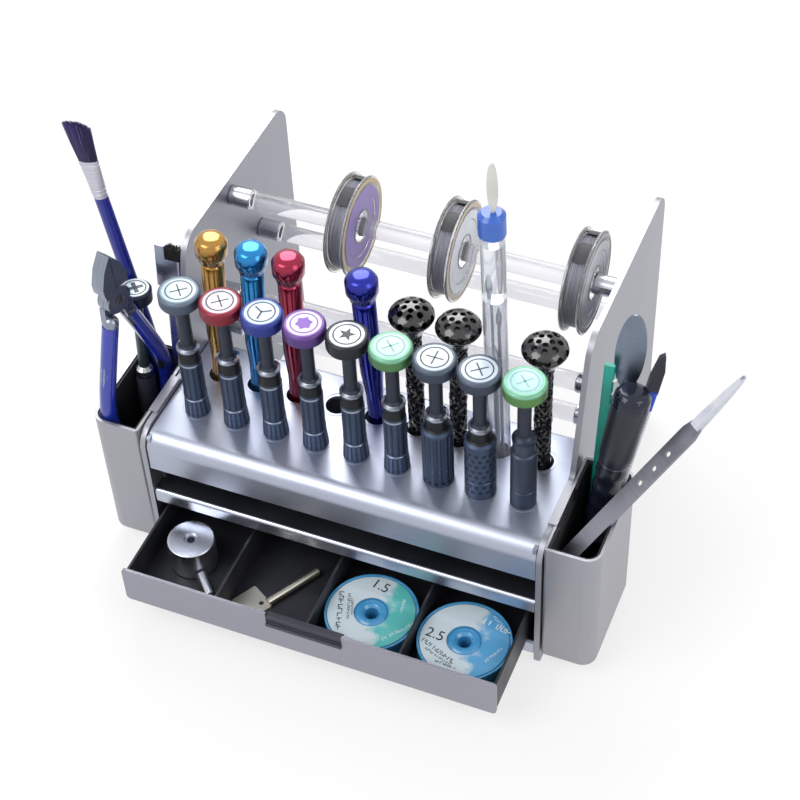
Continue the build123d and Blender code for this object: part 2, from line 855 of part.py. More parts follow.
finish_piece(group_of([case_plane * clear_case.part, case_plane * case_top.part]), "tip_case")


# --- tools in the left pocket ----------------------------------------------------------------------


def left_spot(out, y, z):
    """A point that lies out from the left pocket's inner edge."""
    return (-(pocket_inner_x + out), y, z)


brush_end_radius = 2.4
brush_plane = leaning_plane(left_spot(5.7, 27.9, pocket_seat), left_spot(44.2, 31.8, 246.1), brush_end_radius)
brush_length = 237.5
bristle_length = 24.5
ferrule_length = 23.0
with BuildPart() as paint_brush:
    with BuildSketch(brush_plane):
        Circle(brush_end_radius)
    with BuildSketch(brush_plane.offset(brush_length * 0.45)):
        Circle(3.9)
    with BuildSketch(brush_plane.offset(brush_length - bristle_length - ferrule_length)):
        Ellipse(4.0, 3.2)
    with BuildSketch(brush_plane.offset(brush_length - bristle_length)):
        Ellipse(6.0, 2.6)
    loft(ruled=True)
finish_piece(paint_brush.part, "paint_brush")

bristle_columns = 26
bristle_rows = 12
bristle_side = 0.22
bristle_root_half = (5.4, 2.1)
bristle_tip_half = (8.4, 1.5)
backing_thickness = 1.0
bristle_base = brush_plane.offset(brush_length - bristle_length + seat_gap)


def bristle(column, row):
    """One straight bristle of square section, from its root to its splayed tip."""
    u = 2 * (column + 0.5) / bristle_columns - 1
    v = 2 * (row + 0.5) / bristle_rows - 1
    root = (u * bristle_root_half[0], v * bristle_root_half[1], backing_thickness / 2)
    tip = (u * bristle_tip_half[0], v * bristle_tip_half[1], bristle_length - 1.0 - 1.2 * abs(u))
    strand = Solid.make_box(bristle_side, bristle_side, (Vector(*tip) - Vector(*root)).length)
    return Plane(origin=root, z_dir=Vector(*tip) - Vector(*root)) * strand


with BuildPart() as bristle_backing:
    with BuildSketch(Plane.XY):
        Ellipse(5.9, 2.5)
    extrude(amount=backing_thickness)
strands = [bristle(c, r) for c in range(bristle_columns) for r in range(bristle_rows)]
bristles = bristle_backing.part.fuse(*strands)
finish_piece(bristle_base * bristles, "brush_bristles")

cutter_pivot = left_spot(15.1, -4.8, 167.3)
cutter_plane = Plane(origin=cutter_pivot, x_dir=(0.25, 0.966, 0.06), z_dir=(0.968, -0.25, -0.0155))
cutter_thickness = 8.0
layer_clearance = 0.1
joint_radius = 8.0
jaw_length = 31.0
handle_radius = 4.2
grip_points = ((6.0, -14.0), (12.5, -33.0), (20.0, -58.0), (22.4, -76.0), (18.0, -110.0))
grip_foot_x = 10.0


def cutter_half(side):
    """One half of the side cutters: jaw on one side, handle on the other, in its own layer."""
    layer_middle = cutter_thickness / 4 * side
    layer_half = cutter_thickness / 4 - layer_clearance
    foot_drop = pocket_seat + handle_radius - cutter_plane.origin.Z
    foot_y = (foot_drop - cutter_plane.x_dir.Z * side * grip_foot_x) / cutter_plane.y_dir.Z
    path_points = [(side * x, y) for x, y in grip_points] + [(side * grip_foot_x, foot_y)]
    with BuildPart() as built:
        with BuildSketch(Plane.XY.offset(layer_middle)):
            Circle(joint_radius)
            with BuildLine():
                Polyline(
                    (side * -3, -1),
                    (side * 2, -9),
                    (side * 3, -16),
                    (side * 9, -16),
                    (side * 8, -4),
                    close=True,
                )
            make_face()
            with Locations((side * -4.2, joint_radius - 0.5)):
                Rectangle(7.5, 5)
        extrude(amount=layer_half, both=True)
        with BuildSketch(Plane.XY):
            with BuildLine():
                Polyline(
                    (side * -0.15, joint_radius + 0.4),
                    (side * -8.5, joint_radius + 0.4),
                    (side * -8.8, joint_radius + 6),
                    (side * -5.5, joint_radius + jaw_length * 0.5),
                    (side * -0.15, jaw_length),
                    close=True,
                )
            make_face()
        extrude(amount=cutter_thickness / 2, both=True)
        with BuildLine():
            grip = Spline(*path_points)
        with BuildSketch(Plane(origin=grip @ 0, z_dir=grip % 0)):
            Circle(handle_radius)
        sweep(path=grip)
        for end in (grip @ 0, grip @ 1):
            with Locations(end):
                Sphere(handle_radius)
    return built.part


finish_piece(cutter_plane * cutter_half(1), "cutter_front_half")
finish_piece(cutter_plane * cutter_half(-1), "cutter_rear_half")

stored_end_radius = 1.5
stored_foot = left_spot(20.3, 10.2, pocket_seat)
stored_plane = leaning_plane(stored_foot, left_spot(18.9, 20.2, 149.5), stored_end_radius)
stored_profile = [
    (0, 0),
    (stored_end_radius, 0),
    (2.0, 4),
    (2.0, 50),
    (4.9, 52),
    (5.3, 58),
    (5.3, 79),
    (4.8, 83),
    (3.0, 85),
    (3.0, 131),
    (8.8, 131.5),
    (8.8, 138),
    (7.8, 139),
    (0, 139),
]
finish_piece(stored_plane * turned_tool(stored_profile), "stored_driver")

static_plane = leaning_plane(left_spot(5.9, 20.4, pocket_seat), left_spot(7.9, 40.6, 165.0), 2.0)
holder_top = 148.0
with BuildPart() as antistatic_brush:
    with BuildSketch(Plane.XY):
        RectangleRounded(5.4, 3.0, 1.2)
    extrude(amount=holder_top - 17)
    with BuildSketch(Plane.XY.offset(holder_top - 18)):
        RectangleRounded(15, 4.6, 1.5)
    extrude(amount=18)
    with BuildSketch(Plane.XY.offset(holder_top - 1)):
        with Locations((-4.2, 0)):
            RectangleRounded(6.4, 4.6, 1.5)
    extrude(amount=9)
    with BuildSketch(Plane.XY.offset(holder_top - 1)):
        with Locations((3.2, 0)):
            RectangleRounded(8.0, 3.6, 1)
    extrude(amount=8)
finish_piece(static_plane * antistatic_brush.part, "antistatic_brush")


# --- tools in the right pocket -----------------------------------------------------------------------


def right_spot(out, y, z):
    """A point that lies out from the right pocket's inner edge."""
    return (pocket_inner_x + out, y, z)


grip_end_radius = 1.8
grip_plane = leaning_plane(right_spot(6.0, 4.0, pocket_seat), right_spot(25.4, 27.2, 162.0), grip_end_radius)
grip_profile = [
    (0, 0),
    (grip_end_radius, 0),
    (2.4, 3),
    (2.4, 58),
    (5.0, 60),
    (6.4, 66),
    (7.0, 71),
    (6.5, 75),
    (7.2, 80),
    (6.7, 84),
    (7.6, 90),
    (7.1, 95),
    (8.2, 101),
    (7.9, 107),
    (8.8, 113),
    (9.0, 128),
    (9.5, 146),
    (9.1, 150.6),
    (7.4, 153.4),
    (4.0, 154.4),
    (0, 154.5),
]
finish_piece(grip_plane * turned_tool(grip_profile), "handled_driver")

tweezer_points = right_spot(6.9, -18.3, 76.2)
tweezer_head = right_spot(59.4, 38.6, 146.3)
tweezer_plane = leaning_plane(tweezer_points, tweezer_head, face=(-0.42, -0.5, 0.76))
tweezer_thickness = 1.8
guard_start = 99.0
with BuildPart() as tweezers:
    with BuildSketch(Plane.XZ):
        with BuildLine():
            Polyline(
                (-4.8, 0),
                (4.8, 0),
                (5.0, guard_start - 7),
                (3.2, guard_start),
                (2.4, guard_start + 4),
                (0.6, guard_start + 32),
                (-0.6, guard_start + 32),
                (-2.4, guard_start + 4),
                (-3.2, guard_start),
                (-5.0, guard_start - 7),
                close=True,
            )
        make_face()
        with Locations(*[(0, 57 + 10.2 * i) for i in range(3)]):
            Circle(1.5, mode=Mode.SUBTRACT)
    extrude(amount=tweezer_thickness / 2, both=True)
finish_piece(tweezer_plane * tweezers.part, "tweezers")

knife_foot = right_spot(8.0, 14.2, pocket_seat)
knife_plane = leaning_plane(knife_foot, right_spot(35.0, 41.0, 176.5), 3.4, face=(0.4, -0.9, 0))
with BuildPart() as marked_knife:
    with BuildSketch(Plane.XY):
        RectangleRounded(6.4, 3.6, 1.2)
    extrude(amount=146)
    with BuildSketch(Plane.XZ):
        with BuildLine():
            Polyline((-3.2, 145), (3.2, 145), (3.0, 160), (0.8, 170), (-1.6, 168), (-3.2, 156), close=True)
        make_face()
    extrude(amount=1.5, both=True)
finish_piece(knife_plane * marked_knife.part, "marked_knife")

strip_plane = leaning_plane(right_spot(6.2, 26.3, pocket_seat), right_spot(10.6, 34.6, 170.0), 3.0)
with BuildPart() as tufted_strip:
    with BuildSketch(Plane.XY):
        RectangleRounded(5.6, 2.2, 0.9)
    extrude(amount=157)
    with BuildSketch(Plane.YZ):
        with Locations(*[(0, 88 + 8.5 * i) for i in range(8)]):
            Circle(1.0)
    extrude(amount=4.4)
finish_piece(strip_plane * tufted_strip.part, "tufted_strip")

spatula_plane = leaning_plane(right_spot(10.7, 22.3, pocket_seat), right_spot(20.0, 42.8, 197.0), 1.6)
spatula_stem = 146
spatula_blade_half = 23
with BuildPart() as spatula:
    with BuildSketch(Plane.XY):
        Circle(1.6)
    extrude(amount=spatula_stem)
    with BuildSketch(Plane.XZ):
        with Locations((0, spatula_stem + spatula_blade_half - 5)):
            Ellipse(7.6, spatula_blade_half)
    extrude(amount=0.7, both=True)
finish_piece(spatula_plane * spatula.part, "spatula")
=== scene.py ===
"""Looks of the hobby workstation organizer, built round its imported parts.

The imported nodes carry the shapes.  This file gives every node its finish and adds the soft,
printed and fine pieces: bristles, wound strips, cap inlays, labels, grip sleeves and guards.
"""

import json
import logging
import math
import random
from collections.abc import Callable, Iterable, Sequence
from dataclasses import dataclass, field
from enum import Enum

import bmesh
import bpy
from mathutils import Matrix, Vector

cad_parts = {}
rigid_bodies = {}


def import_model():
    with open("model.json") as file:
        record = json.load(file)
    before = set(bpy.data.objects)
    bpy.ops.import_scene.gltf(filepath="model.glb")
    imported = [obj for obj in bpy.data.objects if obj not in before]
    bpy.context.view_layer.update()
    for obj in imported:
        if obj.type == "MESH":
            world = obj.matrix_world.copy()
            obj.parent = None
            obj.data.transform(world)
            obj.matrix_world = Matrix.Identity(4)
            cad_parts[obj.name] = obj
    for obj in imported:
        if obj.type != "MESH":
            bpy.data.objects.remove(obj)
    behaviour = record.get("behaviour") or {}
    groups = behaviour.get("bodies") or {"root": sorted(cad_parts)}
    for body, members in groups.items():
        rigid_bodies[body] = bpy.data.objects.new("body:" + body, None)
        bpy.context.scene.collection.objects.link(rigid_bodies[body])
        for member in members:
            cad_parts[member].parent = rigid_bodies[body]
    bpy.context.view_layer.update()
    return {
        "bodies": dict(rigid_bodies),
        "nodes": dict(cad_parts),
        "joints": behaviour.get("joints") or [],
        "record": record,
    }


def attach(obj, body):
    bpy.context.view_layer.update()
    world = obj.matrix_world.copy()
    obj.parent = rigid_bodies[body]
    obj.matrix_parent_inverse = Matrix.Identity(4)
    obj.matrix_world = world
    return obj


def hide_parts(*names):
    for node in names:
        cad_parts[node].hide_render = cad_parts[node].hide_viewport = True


LOG = logging.getLogger("organizer")

MM = 0.001
Colour = tuple[float, float, float]
Station = tuple[float, float]

DECK_TOP = 92.5
HOLE_PITCH = 23.0
BACK_ROW_Y = 28.2
CAP_TOP = 86.8
SPOOL_AXIS = (94.0, 161.4)
SPOOL_X = (-38.0, 20.2, 91.2)
POCKET_SEAT = 11.4


# --- small geometry helpers -------------------------------------------------------------------


def hole_x(column: int) -> float:
    """X of a tool hole in mm, columns counted from 0 at the left."""
    return (column - 4) * HOLE_PITCH


def leaning_frame(
    foot: Sequence[float],
    top: Sequence[float],
    end_radius: float = 0.0,
    face: Sequence[float] = (0.0, -1.0, 0.0),
) -> Matrix:
    """Local frame of a tool that leans from foot to top, in metres.

    Args:
        foot: Lowest point of the tool in mm.
        top: A point further up its axis in mm.
        end_radius: Radius of its lower end in mm, which lifts a leaning foot.
        face: Direction that the tool's local -Y side is turned towards.

    Returns:
        A matrix whose Z runs up the tool and whose origin is its foot.
    """
    axis = (Vector(top) - Vector(foot)).normalized()
    lift = end_radius * math.sqrt(max(0.0, 1.0 - axis.z**2))
    across = axis.cross(Vector(face)).normalized()
    depth = axis.cross(across)
    origin = (Vector(foot) + Vector((0, 0, lift))) * MM
    turned = Matrix((across, depth, axis)).transposed().to_4x4()
    return Matrix.Translation(origin) @ turned


def standing_frame(x: float, y: float, z: float, lean: float = 0.0) -> Matrix:
    """Frame of an upright tool that leans sideways by lean degrees, origin given in mm."""
    return Matrix.Translation(Vector((x, y, z)) * MM) @ Matrix.Rotation(math.radians(lean), 4, "Y")


# --- modelling as by hand ---------------------------------------------------------------------


class Bench:
    """Operators wrapped for one piece at a time, with everything else deselected."""

    @staticmethod
    def clear() -> None:
        """Leave edit mode and deselect every object."""
        if bpy.context.object and bpy.context.object.mode != "OBJECT":
            bpy.ops.object.mode_set(mode="OBJECT")
        bpy.ops.object.select_all(action="DESELECT")

    @staticmethod
    def hold(piece: bpy.types.Object) -> None:
        """Select one piece alone and make it active."""
        Bench.clear()
        piece.select_set(True)
        bpy.context.view_layer.objects.active = piece

    @staticmethod
    def place(piece: bpy.types.Object, frame: Matrix) -> bpy.types.Object:
        """Move a piece to a frame and put that place into its mesh."""
        Bench.hold(piece)
        piece.matrix_world = frame
        bpy.ops.object.transform_apply(location=True, rotation=True, scale=True)
        return piece

    @staticmethod
    def modify(piece: bpy.types.Object, kind: str, **values: object) -> bpy.types.Object:
        """Add one modifier, set its values and apply it."""
        Bench.hold(piece)
        modifier = piece.modifiers.new(kind.title(), kind)
        for key, value in values.items():
            setattr(modifier, key, value)
        bpy.ops.object.modifier_apply(modifier=modifier.name)
        return piece

    @staticmethod
    def smooth(piece: bpy.types.Object, degrees: float = 32.0) -> bpy.types.Object:
        """Shade a piece smooth below an angle."""
        Bench.hold(piece)
        bpy.ops.object.shade_smooth_by_angle(angle=math.radians(degrees))
        return piece

    @staticmethod
    def join(name: str, parts: Sequence[bpy.types.Object]) -> bpy.types.Object:
        """Join finished parts into one piece that keeps all their materials."""
        Bench.clear()
        for part in parts:
            part.select_set(True)
        bpy.context.view_layer.objects.active = parts[0]
        if len(parts) > 1:
            bpy.ops.object.join()
        joined = bpy.context.object
        joined.name = name
        joined.data.name = name
        return joined

    @staticmethod
    def turned(name: str, stations: Sequence[Station], steps: int = 48) -> bpy.types.Object:
        """A closed turned shape, extruded and scaled from a disc station by station.

        Args:
            name: Name of the piece.
            stations: (radius, height) pairs in mm, from the lower end up.
            steps: Segments round the axis.

        Returns:
            The piece, standing on the world's Z axis.
        """
        Bench.clear()
        radius, height = stations[0]
        bpy.ops.mesh.primitive_circle_add(
            vertices=steps, radius=radius * MM, fill_type="NGON", location=(0, 0, height * MM)
        )
        piece = bpy.context.object
        bpy.ops.object.transform_apply(location=True)
        bpy.ops.object.mode_set(mode="EDIT")
        bpy.ops.mesh.select_all(action="SELECT")
        for new_radius, new_height in stations[1:]:
            bpy.ops.mesh.extrude_region_move(
                TRANSFORM_OT_translate={"value": (0, 0, (new_height - height) * MM)}
            )
            ratio = new_radius / radius
            bpy.ops.transform.resize(
                value=(ratio, ratio, 1), center_override=(0, 0, new_height * MM)
            )
            radius, height = new_radius, new_height
        bpy.ops.mesh.select_all(action="SELECT")
        bpy.ops.mesh.normals_make_consistent(inside=False)
        bpy.ops.object.mode_set(mode="OBJECT")
        piece.name = name
        piece.data.name = name
        return piece

    @staticmethod
    def ring(name: str, stations: Sequence[Station], steps: int = 64) -> bpy.types.Object:
        """A closed ring: a loop of (radius, height) corners in mm, spun round the Z axis."""
        Bench.clear()
        bpy.ops.mesh.primitive_plane_add(size=MM)
        piece = bpy.context.object
        bpy.ops.object.mode_set(mode="EDIT")
        bpy.ops.mesh.select_all(action="SELECT")
        bpy.ops.mesh.merge(type="CENTER")
        bpy.ops.mesh.select_all(action="SELECT")
        start = Vector((stations[0][0] * MM, 0, stations[0][1] * MM))
        bpy.ops.transform.translate(value=start)
        last = start
        for radius, height in stations[1:]:
            point = Vector((radius * MM, 0, height * MM))
            bpy.ops.mesh.extrude_region_move(TRANSFORM_OT_translate={"value": point - last})
            last = point
        bpy.ops.mesh.extrude_region_move(TRANSFORM_OT_translate={"value": start - last})
        bpy.ops.mesh.select_all(action="SELECT")
        bpy.ops.mesh.remove_doubles(threshold=1e-7)
        bpy.ops.mesh.spin(steps=steps, angle=math.tau, center=(0, 0, 0), axis=(0, 0, 1))
        bpy.ops.mesh.select_all(action="SELECT")
        bpy.ops.mesh.remove_doubles(threshold=1e-6)
        bpy.ops.mesh.normals_make_consistent(inside=False)
        bpy.ops.object.mode_set(mode="OBJECT")
        piece.name = name
        piece.data.name = name
        return piece

    @staticmethod
    def slab(
        name: str, size: Sequence[float], centre: Sequence[float] = (0, 0, 0), edge: float = 0.0
    ) -> bpy.types.Object:
        """A block of size mm about centre mm, with its edges bevelled by edge mm."""
        Bench.clear()
        bpy.ops.mesh.primitive_cube_add(size=1, location=Vector(centre) * MM)
        piece = bpy.context.object
        piece.scale = Vector(size) * MM
        bpy.ops.object.transform_apply(location=True, rotation=True, scale=True)
        if edge:
            bpy.ops.object.mode_set(mode="EDIT")
            bpy.ops.mesh.select_all(action="SELECT")
            bpy.ops.mesh.bevel(offset=edge * MM, segments=2, affect="EDGES")
            bpy.ops.object.mode_set(mode="OBJECT")
        piece.name = name
        piece.data.name = name
        return piece

    @staticmethod
    def outline(name: str, corners: Sequence[Station], thickness: float) -> bpy.types.Object:
        """A flat plate with the given outline in its XY plane, thickness mm up from Z 0."""
        Bench.clear()
        bpy.ops.mesh.primitive_circle_add(vertices=len(corners), radius=MM, fill_type="NGON")
        piece = bpy.context.object
        for vertex, (x, y) in zip(piece.data.vertices, corners):
            vertex.co = Vector((x, y, 0)) * MM
        bpy.ops.object.mode_set(mode="EDIT")
        bpy.ops.mesh.select_all(action="SELECT")
        bpy.ops.mesh.extrude_region_move(
            TRANSFORM_OT_translate={"value": (0, 0, thickness * MM)}
        )
        bpy.ops.mesh.select_all(action="SELECT")
        bpy.ops.mesh.normals_make_consistent(inside=False)
        bpy.ops.object.mode_set(mode="OBJECT")
        piece.name = name
        piece.data.name = name
        return piece

    @staticmethod
    def rod_along(
        name: str, points: Iterable[Vector], radius: float, sides: int = 3, cyclic: bool = False
    ) -> bpy.types.Object:
        """A round rod of radius mm along points in metres, made from a curve."""
        Bench.clear()
        path = list(points)
        bpy.ops.curve.primitive_nurbs_path_add()
        piece = bpy.context.object
        piece.data.splines.clear()
        spline = piece.data.splines.new("NURBS")
        spline.points.add(len(path) - 1)
        for knot, point in zip(spline.points, path):
            knot.co = (*point, 1.0)
        spline.order_u = 4
        spline.use_endpoint_u = True
        spline.use_cyclic_u = cyclic
        spline.resolution_u = 6
        piece.data.dimensions = "3D"
        piece.data.bevel_depth = radius * MM
        piece.data.bevel_resolution = sides
        piece.data.use_fill_caps = True
        bpy.ops.object.convert(target="MESH")
        piece = bpy.context.object
        piece.name = name
        piece.data.name = name
        return piece

    @staticmethod
    def lettering(name: str, words: str, height: float, thickness: float) -> bpy.types.Object:
        """Plain numbers as thin raised ink, centred on the origin in the XY plane."""
        Bench.clear()
        bpy.ops.object.text_add(align="WORLD")
        piece = bpy.context.object
        piece.data.body = words
        piece.data.size = height * MM
        piece.data.align_x = "CENTER"
        piece.data.align_y = "CENTER"
        piece.data.extrude = thickness * MM / 2
        bpy.ops.object.convert(target="MESH")
        piece = bpy.context.object
        piece.name = name
        piece.data.name = name
        return piece

    @staticmethod
    def copied(piece: bpy.types.Object, name: str, frame: Matrix) -> bpy.types.Object:
        """A copy with its own mesh, placed at a frame."""
        twin = piece.copy()
        twin.data = piece.data.copy()
        twin.name = name
        twin.data.name = name
        bpy.context.scene.collection.objects.link(twin)
        return Bench.place(twin, frame)

    @staticmethod
    def drop(piece: bpy.types.Object) -> None:
        """Remove a pattern piece once its copies are made."""
        mesh = piece.data
        bpy.data.objects.remove(piece)
        bpy.data.meshes.remove(mesh)


# --- finishes ---------------------------------------------------------------------------------


class Recipe:
    """One material's node tree, written from coordinates to shader."""

    def __init__(self, name: str) -> None:
        """Start a material with its shader."""
        self.material = bpy.data.materials.new(name)
        self.material.use_nodes = True
        self.tree = self.material.node_tree
        self.shader = self.tree.nodes["Principled BSDF"]

    def node(self, kind: str, **values: object) -> bpy.types.Node:
        """Add a node and set its properties."""
        made = self.tree.nodes.new(kind)
        for key, value in values.items():
            setattr(made, key, value)
        return made

    def link(self, source: bpy.types.NodeSocket, target: bpy.types.NodeSocket) -> None:
        """Link two sockets."""
        self.tree.links.new(source, target)

    def constants(self, **values: object) -> None:
        """Set the shader's own sockets, written with underscores for spaces."""
        for key, value in values.items():
            self.shader.inputs[key.replace("_", " ")].default_value = value

    def coordinates(self, frame: Matrix | None = None, stretch: Sequence[float] = (1, 1, 1)) -> bpy.types.NodeSocket:
        """Object coordinates, in a tool's own frame where one is given, then stretched."""
        socket = self.node("ShaderNodeTexCoord").outputs["Object"]
        if frame is not None:
            mapping = self.node("ShaderNodeMapping", vector_type="TEXTURE")
            mapping.inputs["Location"].default_value = frame.translation
            mapping.inputs["Rotation"].default_value = frame.to_euler("XYZ")
            self.link(socket, mapping.inputs["Vector"])
            socket = mapping.outputs["Vector"]
        if tuple(stretch) != (1, 1, 1):
            mapping = self.node("ShaderNodeMapping")
            mapping.inputs["Scale"].default_value = stretch
            self.link(socket, mapping.inputs["Vector"])
            socket = mapping.outputs["Vector"]
        return socket

    def noise(
        self, coordinates: bpy.types.NodeSocket, scale: float, detail: float = 4.0
    ) -> bpy.types.NodeSocket:
        """Noise value at a scale per metre."""
        made = self.node("ShaderNodeTexNoise")
        made.inputs["Scale"].default_value = scale
        made.inputs["Detail"].default_value = detail
        self.link(coordinates, made.inputs["Vector"])
        return made.outputs["Fac"]

    def ramp(
        self,
        value: bpy.types.NodeSocket,
        stops: Sequence[tuple[float, Colour]],
        sharp: bool = False,
    ) -> bpy.types.NodeSocket:
        """Colour stops along a value."""
        made = self.node("ShaderNodeValToRGB")
        made.color_ramp.interpolation = "CONSTANT" if sharp else "LINEAR"
        elements = made.color_ramp.elements
        elements[0].position, elements[0].color = stops[0][0], (*stops[0][1], 1)
        elements[1].position, elements[1].color = stops[1][0], (*stops[1][1], 1)
        for position, colour in stops[2:]:
            elements.new(position).color = (*colour, 1)
        self.link(value, made.inputs["Fac"])
        return made.outputs["Color"]

    def spread(
        self, value: bpy.types.NodeSocket, low: float, high: float, start: float = 0.3, end: float = 0.7
    ) -> bpy.types.NodeSocket:
        """Map a value's start..end to low..high."""
        made = self.node("ShaderNodeMapRange")
        made.inputs["From Min"].default_value = start
        made.inputs["From Max"].default_value = end
        made.inputs["To Min"].default_value = low
        made.inputs["To Max"].default_value = high
        self.link(value, made.inputs["Value"])
        return made.outputs["Result"]

    def axis(self, coordinates: bpy.types.NodeSocket, letter: str) -> bpy.types.NodeSocket:
        """One component of a coordinate."""
        made = self.node("ShaderNodeSeparateXYZ")
        self.link(coordinates, made.inputs["Vector"])
        return made.outputs[letter]

    def math(
        self, operation: str, first: bpy.types.NodeSocket, second: bpy.types.NodeSocket | float
    ) -> bpy.types.NodeSocket:
        """One arithmetic step."""
        made = self.node("ShaderNodeMath", operation=operation)
        self.link(first, made.inputs[0])
        if isinstance(second, (int, float)):
            made.inputs[1].default_value = second
        else:
            self.link(second, made.inputs[1])
        return made.outputs["Value"]

    def tint(
        self,
        share: bpy.types.NodeSocket | float,
        first: bpy.types.NodeSocket | Colour,
        second: bpy.types.NodeSocket | Colour,
        blend: str = "MIX",
    ) -> bpy.types.NodeSocket:
        """Mix two colours by a share."""
        made = self.node("ShaderNodeMix", data_type="RGBA", blend_type=blend)
        for value, socket in ((share, made.inputs[0]), (first, made.inputs[6]), (second, made.inputs[7])):
            if isinstance(value, bpy.types.NodeSocket):
                self.link(value, socket)
            elif isinstance(value, tuple):
                socket.default_value = (*value, 1)
            else:
                socket.default_value = value
        return made.outputs[2]

    def colour(self, socket: bpy.types.NodeSocket) -> None:
        """Feed the base colour."""
        self.link(socket, self.shader.inputs["Base Color"])

    def rough(self, socket: bpy.types.NodeSocket) -> None:
        """Feed the roughness."""
        self.link(socket, self.shader.inputs["Roughness"])

    def bump(self, *heights: tuple[bpy.types.NodeSocket, float, float]) -> None:
        """Chain bumps, each (height, strength, distance in mm)."""
        last = None
        for height, strength, distance in heights:
            made = self.node("ShaderNodeBump")
            made.inputs["Strength"].default_value = strength
            made.inputs["Distance"].default_value = distance * MM
            self.link(height, made.inputs["Height"])
            if last is not None:
                self.link(last, made.inputs["Normal"])
            last = made.outputs["Normal"]
        self.link(last, self.shader.inputs["Normal"])


class Grain(Enum):
    """Direction that a brushed metal's grain runs in."""

    ALONG_X = (40.0, 4200.0, 4200.0)
    ALONG_Y = (4200.0, 40.0, 4200.0)
    ALONG_Z = (4200.0, 4200.0, 40.0)


@dataclass(frozen=True)
class BrushedMetal:
    """Satin sheet metal with a fine straight grain, faint clouding and sparse scratches."""

    name: str
    colour: Colour
    grain: Grain
    roughness: float = 0.4
    depth: float = 0.05

    def build(self) -> bpy.types.Material:
        """Make the material."""
        recipe = Recipe(self.name)
        recipe.constants(Metallic=0.92)
        grain = recipe.noise(recipe.coordinates(stretch=self.grain.value), 1.0, 4.0)
        cloud = recipe.noise(recipe.coordinates(), 11.0, 3.0)
        scratch_way = tuple(v * 0.22 for v in self.grain.value)
        scratch = recipe.noise(recipe.coordinates(stretch=scratch_way), 1.0, 1.0)
        dark = tuple(c * 0.93 for c in self.colour)
        light = tuple(min(1.0, c * 1.05) for c in self.colour)
        streaks = recipe.ramp(grain, [(0.3, dark), (0.7, light)])
        clouds = recipe.ramp(cloud, [(0.3, (0.93, 0.94, 0.97)), (0.7, (1.0, 1.0, 1.0))])
        marks = recipe.ramp(scratch, [(0.72, (1.0, 1.0, 1.0)), (0.8, (1.12, 1.12, 1.14))])
        toned = recipe.tint(1.0, streaks, clouds, "MULTIPLY")
        recipe.colour(recipe.tint(1.0, toned, marks, "MULTIPLY"))
        worn = recipe.spread(cloud, self.roughness - 0.04, self.roughness + 0.06)
        recipe.rough(recipe.math("ADD", worn, recipe.spread(grain, -0.03, 0.03)))
        recipe.bump((grain, self.depth, 0.02))
        return recipe.material


@dataclass(frozen=True)
class TurnedMetal:
    """Turned or ground metal with fine rings along one frame's axis."""

    name: str
    colour: Colour
    frame: Matrix | None = None
    roughness: float = 0.22
    pitch: float = 2400.0
    metallic: float = 1.0

    def build(self) -> bpy.types.Material:
        """Make the material."""
        recipe = Recipe(self.name)
        recipe.constants(Metallic=self.metallic)
        rings = recipe.noise(recipe.coordinates(self.frame, (30.0, 30.0, self.pitch)), 1.0, 3.0)
        smudge = recipe.noise(recipe.coordinates(), 60.0, 4.0)
        dark = tuple(c * 0.86 for c in self.colour)
        recipe.colour(recipe.ramp(rings, [(0.3, dark), (0.7, self.colour)]))
        recipe.rough(recipe.spread(smudge, self.roughness - 0.06, self.roughness + 0.1))
        recipe.bump((rings, 0.1, 0.03))
        return recipe.material


@dataclass(frozen=True)
class Moulded:
    """Moulded plastic, rubber or lacquer with a fine skin."""

    name: str
    colour: Colour
    roughness: float = 0.45
    skin: float = 2600.0
    depth: float = 0.1
    coat: float = 0.0
    worn: float = 0.12

    def build(self) -> bpy.types.Material:
        """Make the material."""
        recipe = Recipe(self.name)
        recipe.constants(Coat_Weight=self.coat, Coat_Roughness=0.08)
        skin = recipe.noise(recipe.coordinates(), self.skin, 3.0)
        handled = recipe.noise(recipe.coordinates(), 45.0, 5.0)
        dull = tuple(c * (1 - self.worn) for c in self.colour)
        light = tuple(min(1.0, c * (1 + self.worn)) + 0.004 for c in self.colour)
        recipe.colour(recipe.ramp(handled, [(0.3, dull), (0.7, light)]))
        recipe.rough(recipe.spread(handled, self.roughness - 0.05, self.roughness + 0.1))
        recipe.bump((skin, self.depth, 0.05))
        return recipe.material


@dataclass(frozen=True)
class Clear:
    """Clear acrylic with faint haze and a tint."""

    name: str
    tint: Colour = (0.93, 0.94, 0.98)
    roughness: float = 0.04
    haze: float = 30.0

    def build(self) -> bpy.types.Material:
        """Make the material."""
        recipe = Recipe(self.name)
        recipe.constants(Transmission_Weight=0.86, IOR=1.3)
        cloud = recipe.noise(recipe.coordinates(), self.haze, 3.0)
        grey = tuple(c * 0.9 for c in self.tint)
        recipe.colour(recipe.ramp(cloud, [(0.3, grey), (0.7, self.tint)]))
        recipe.rough(recipe.spread(cloud, self.roughness, self.roughness + 0.06))
        return recipe.material


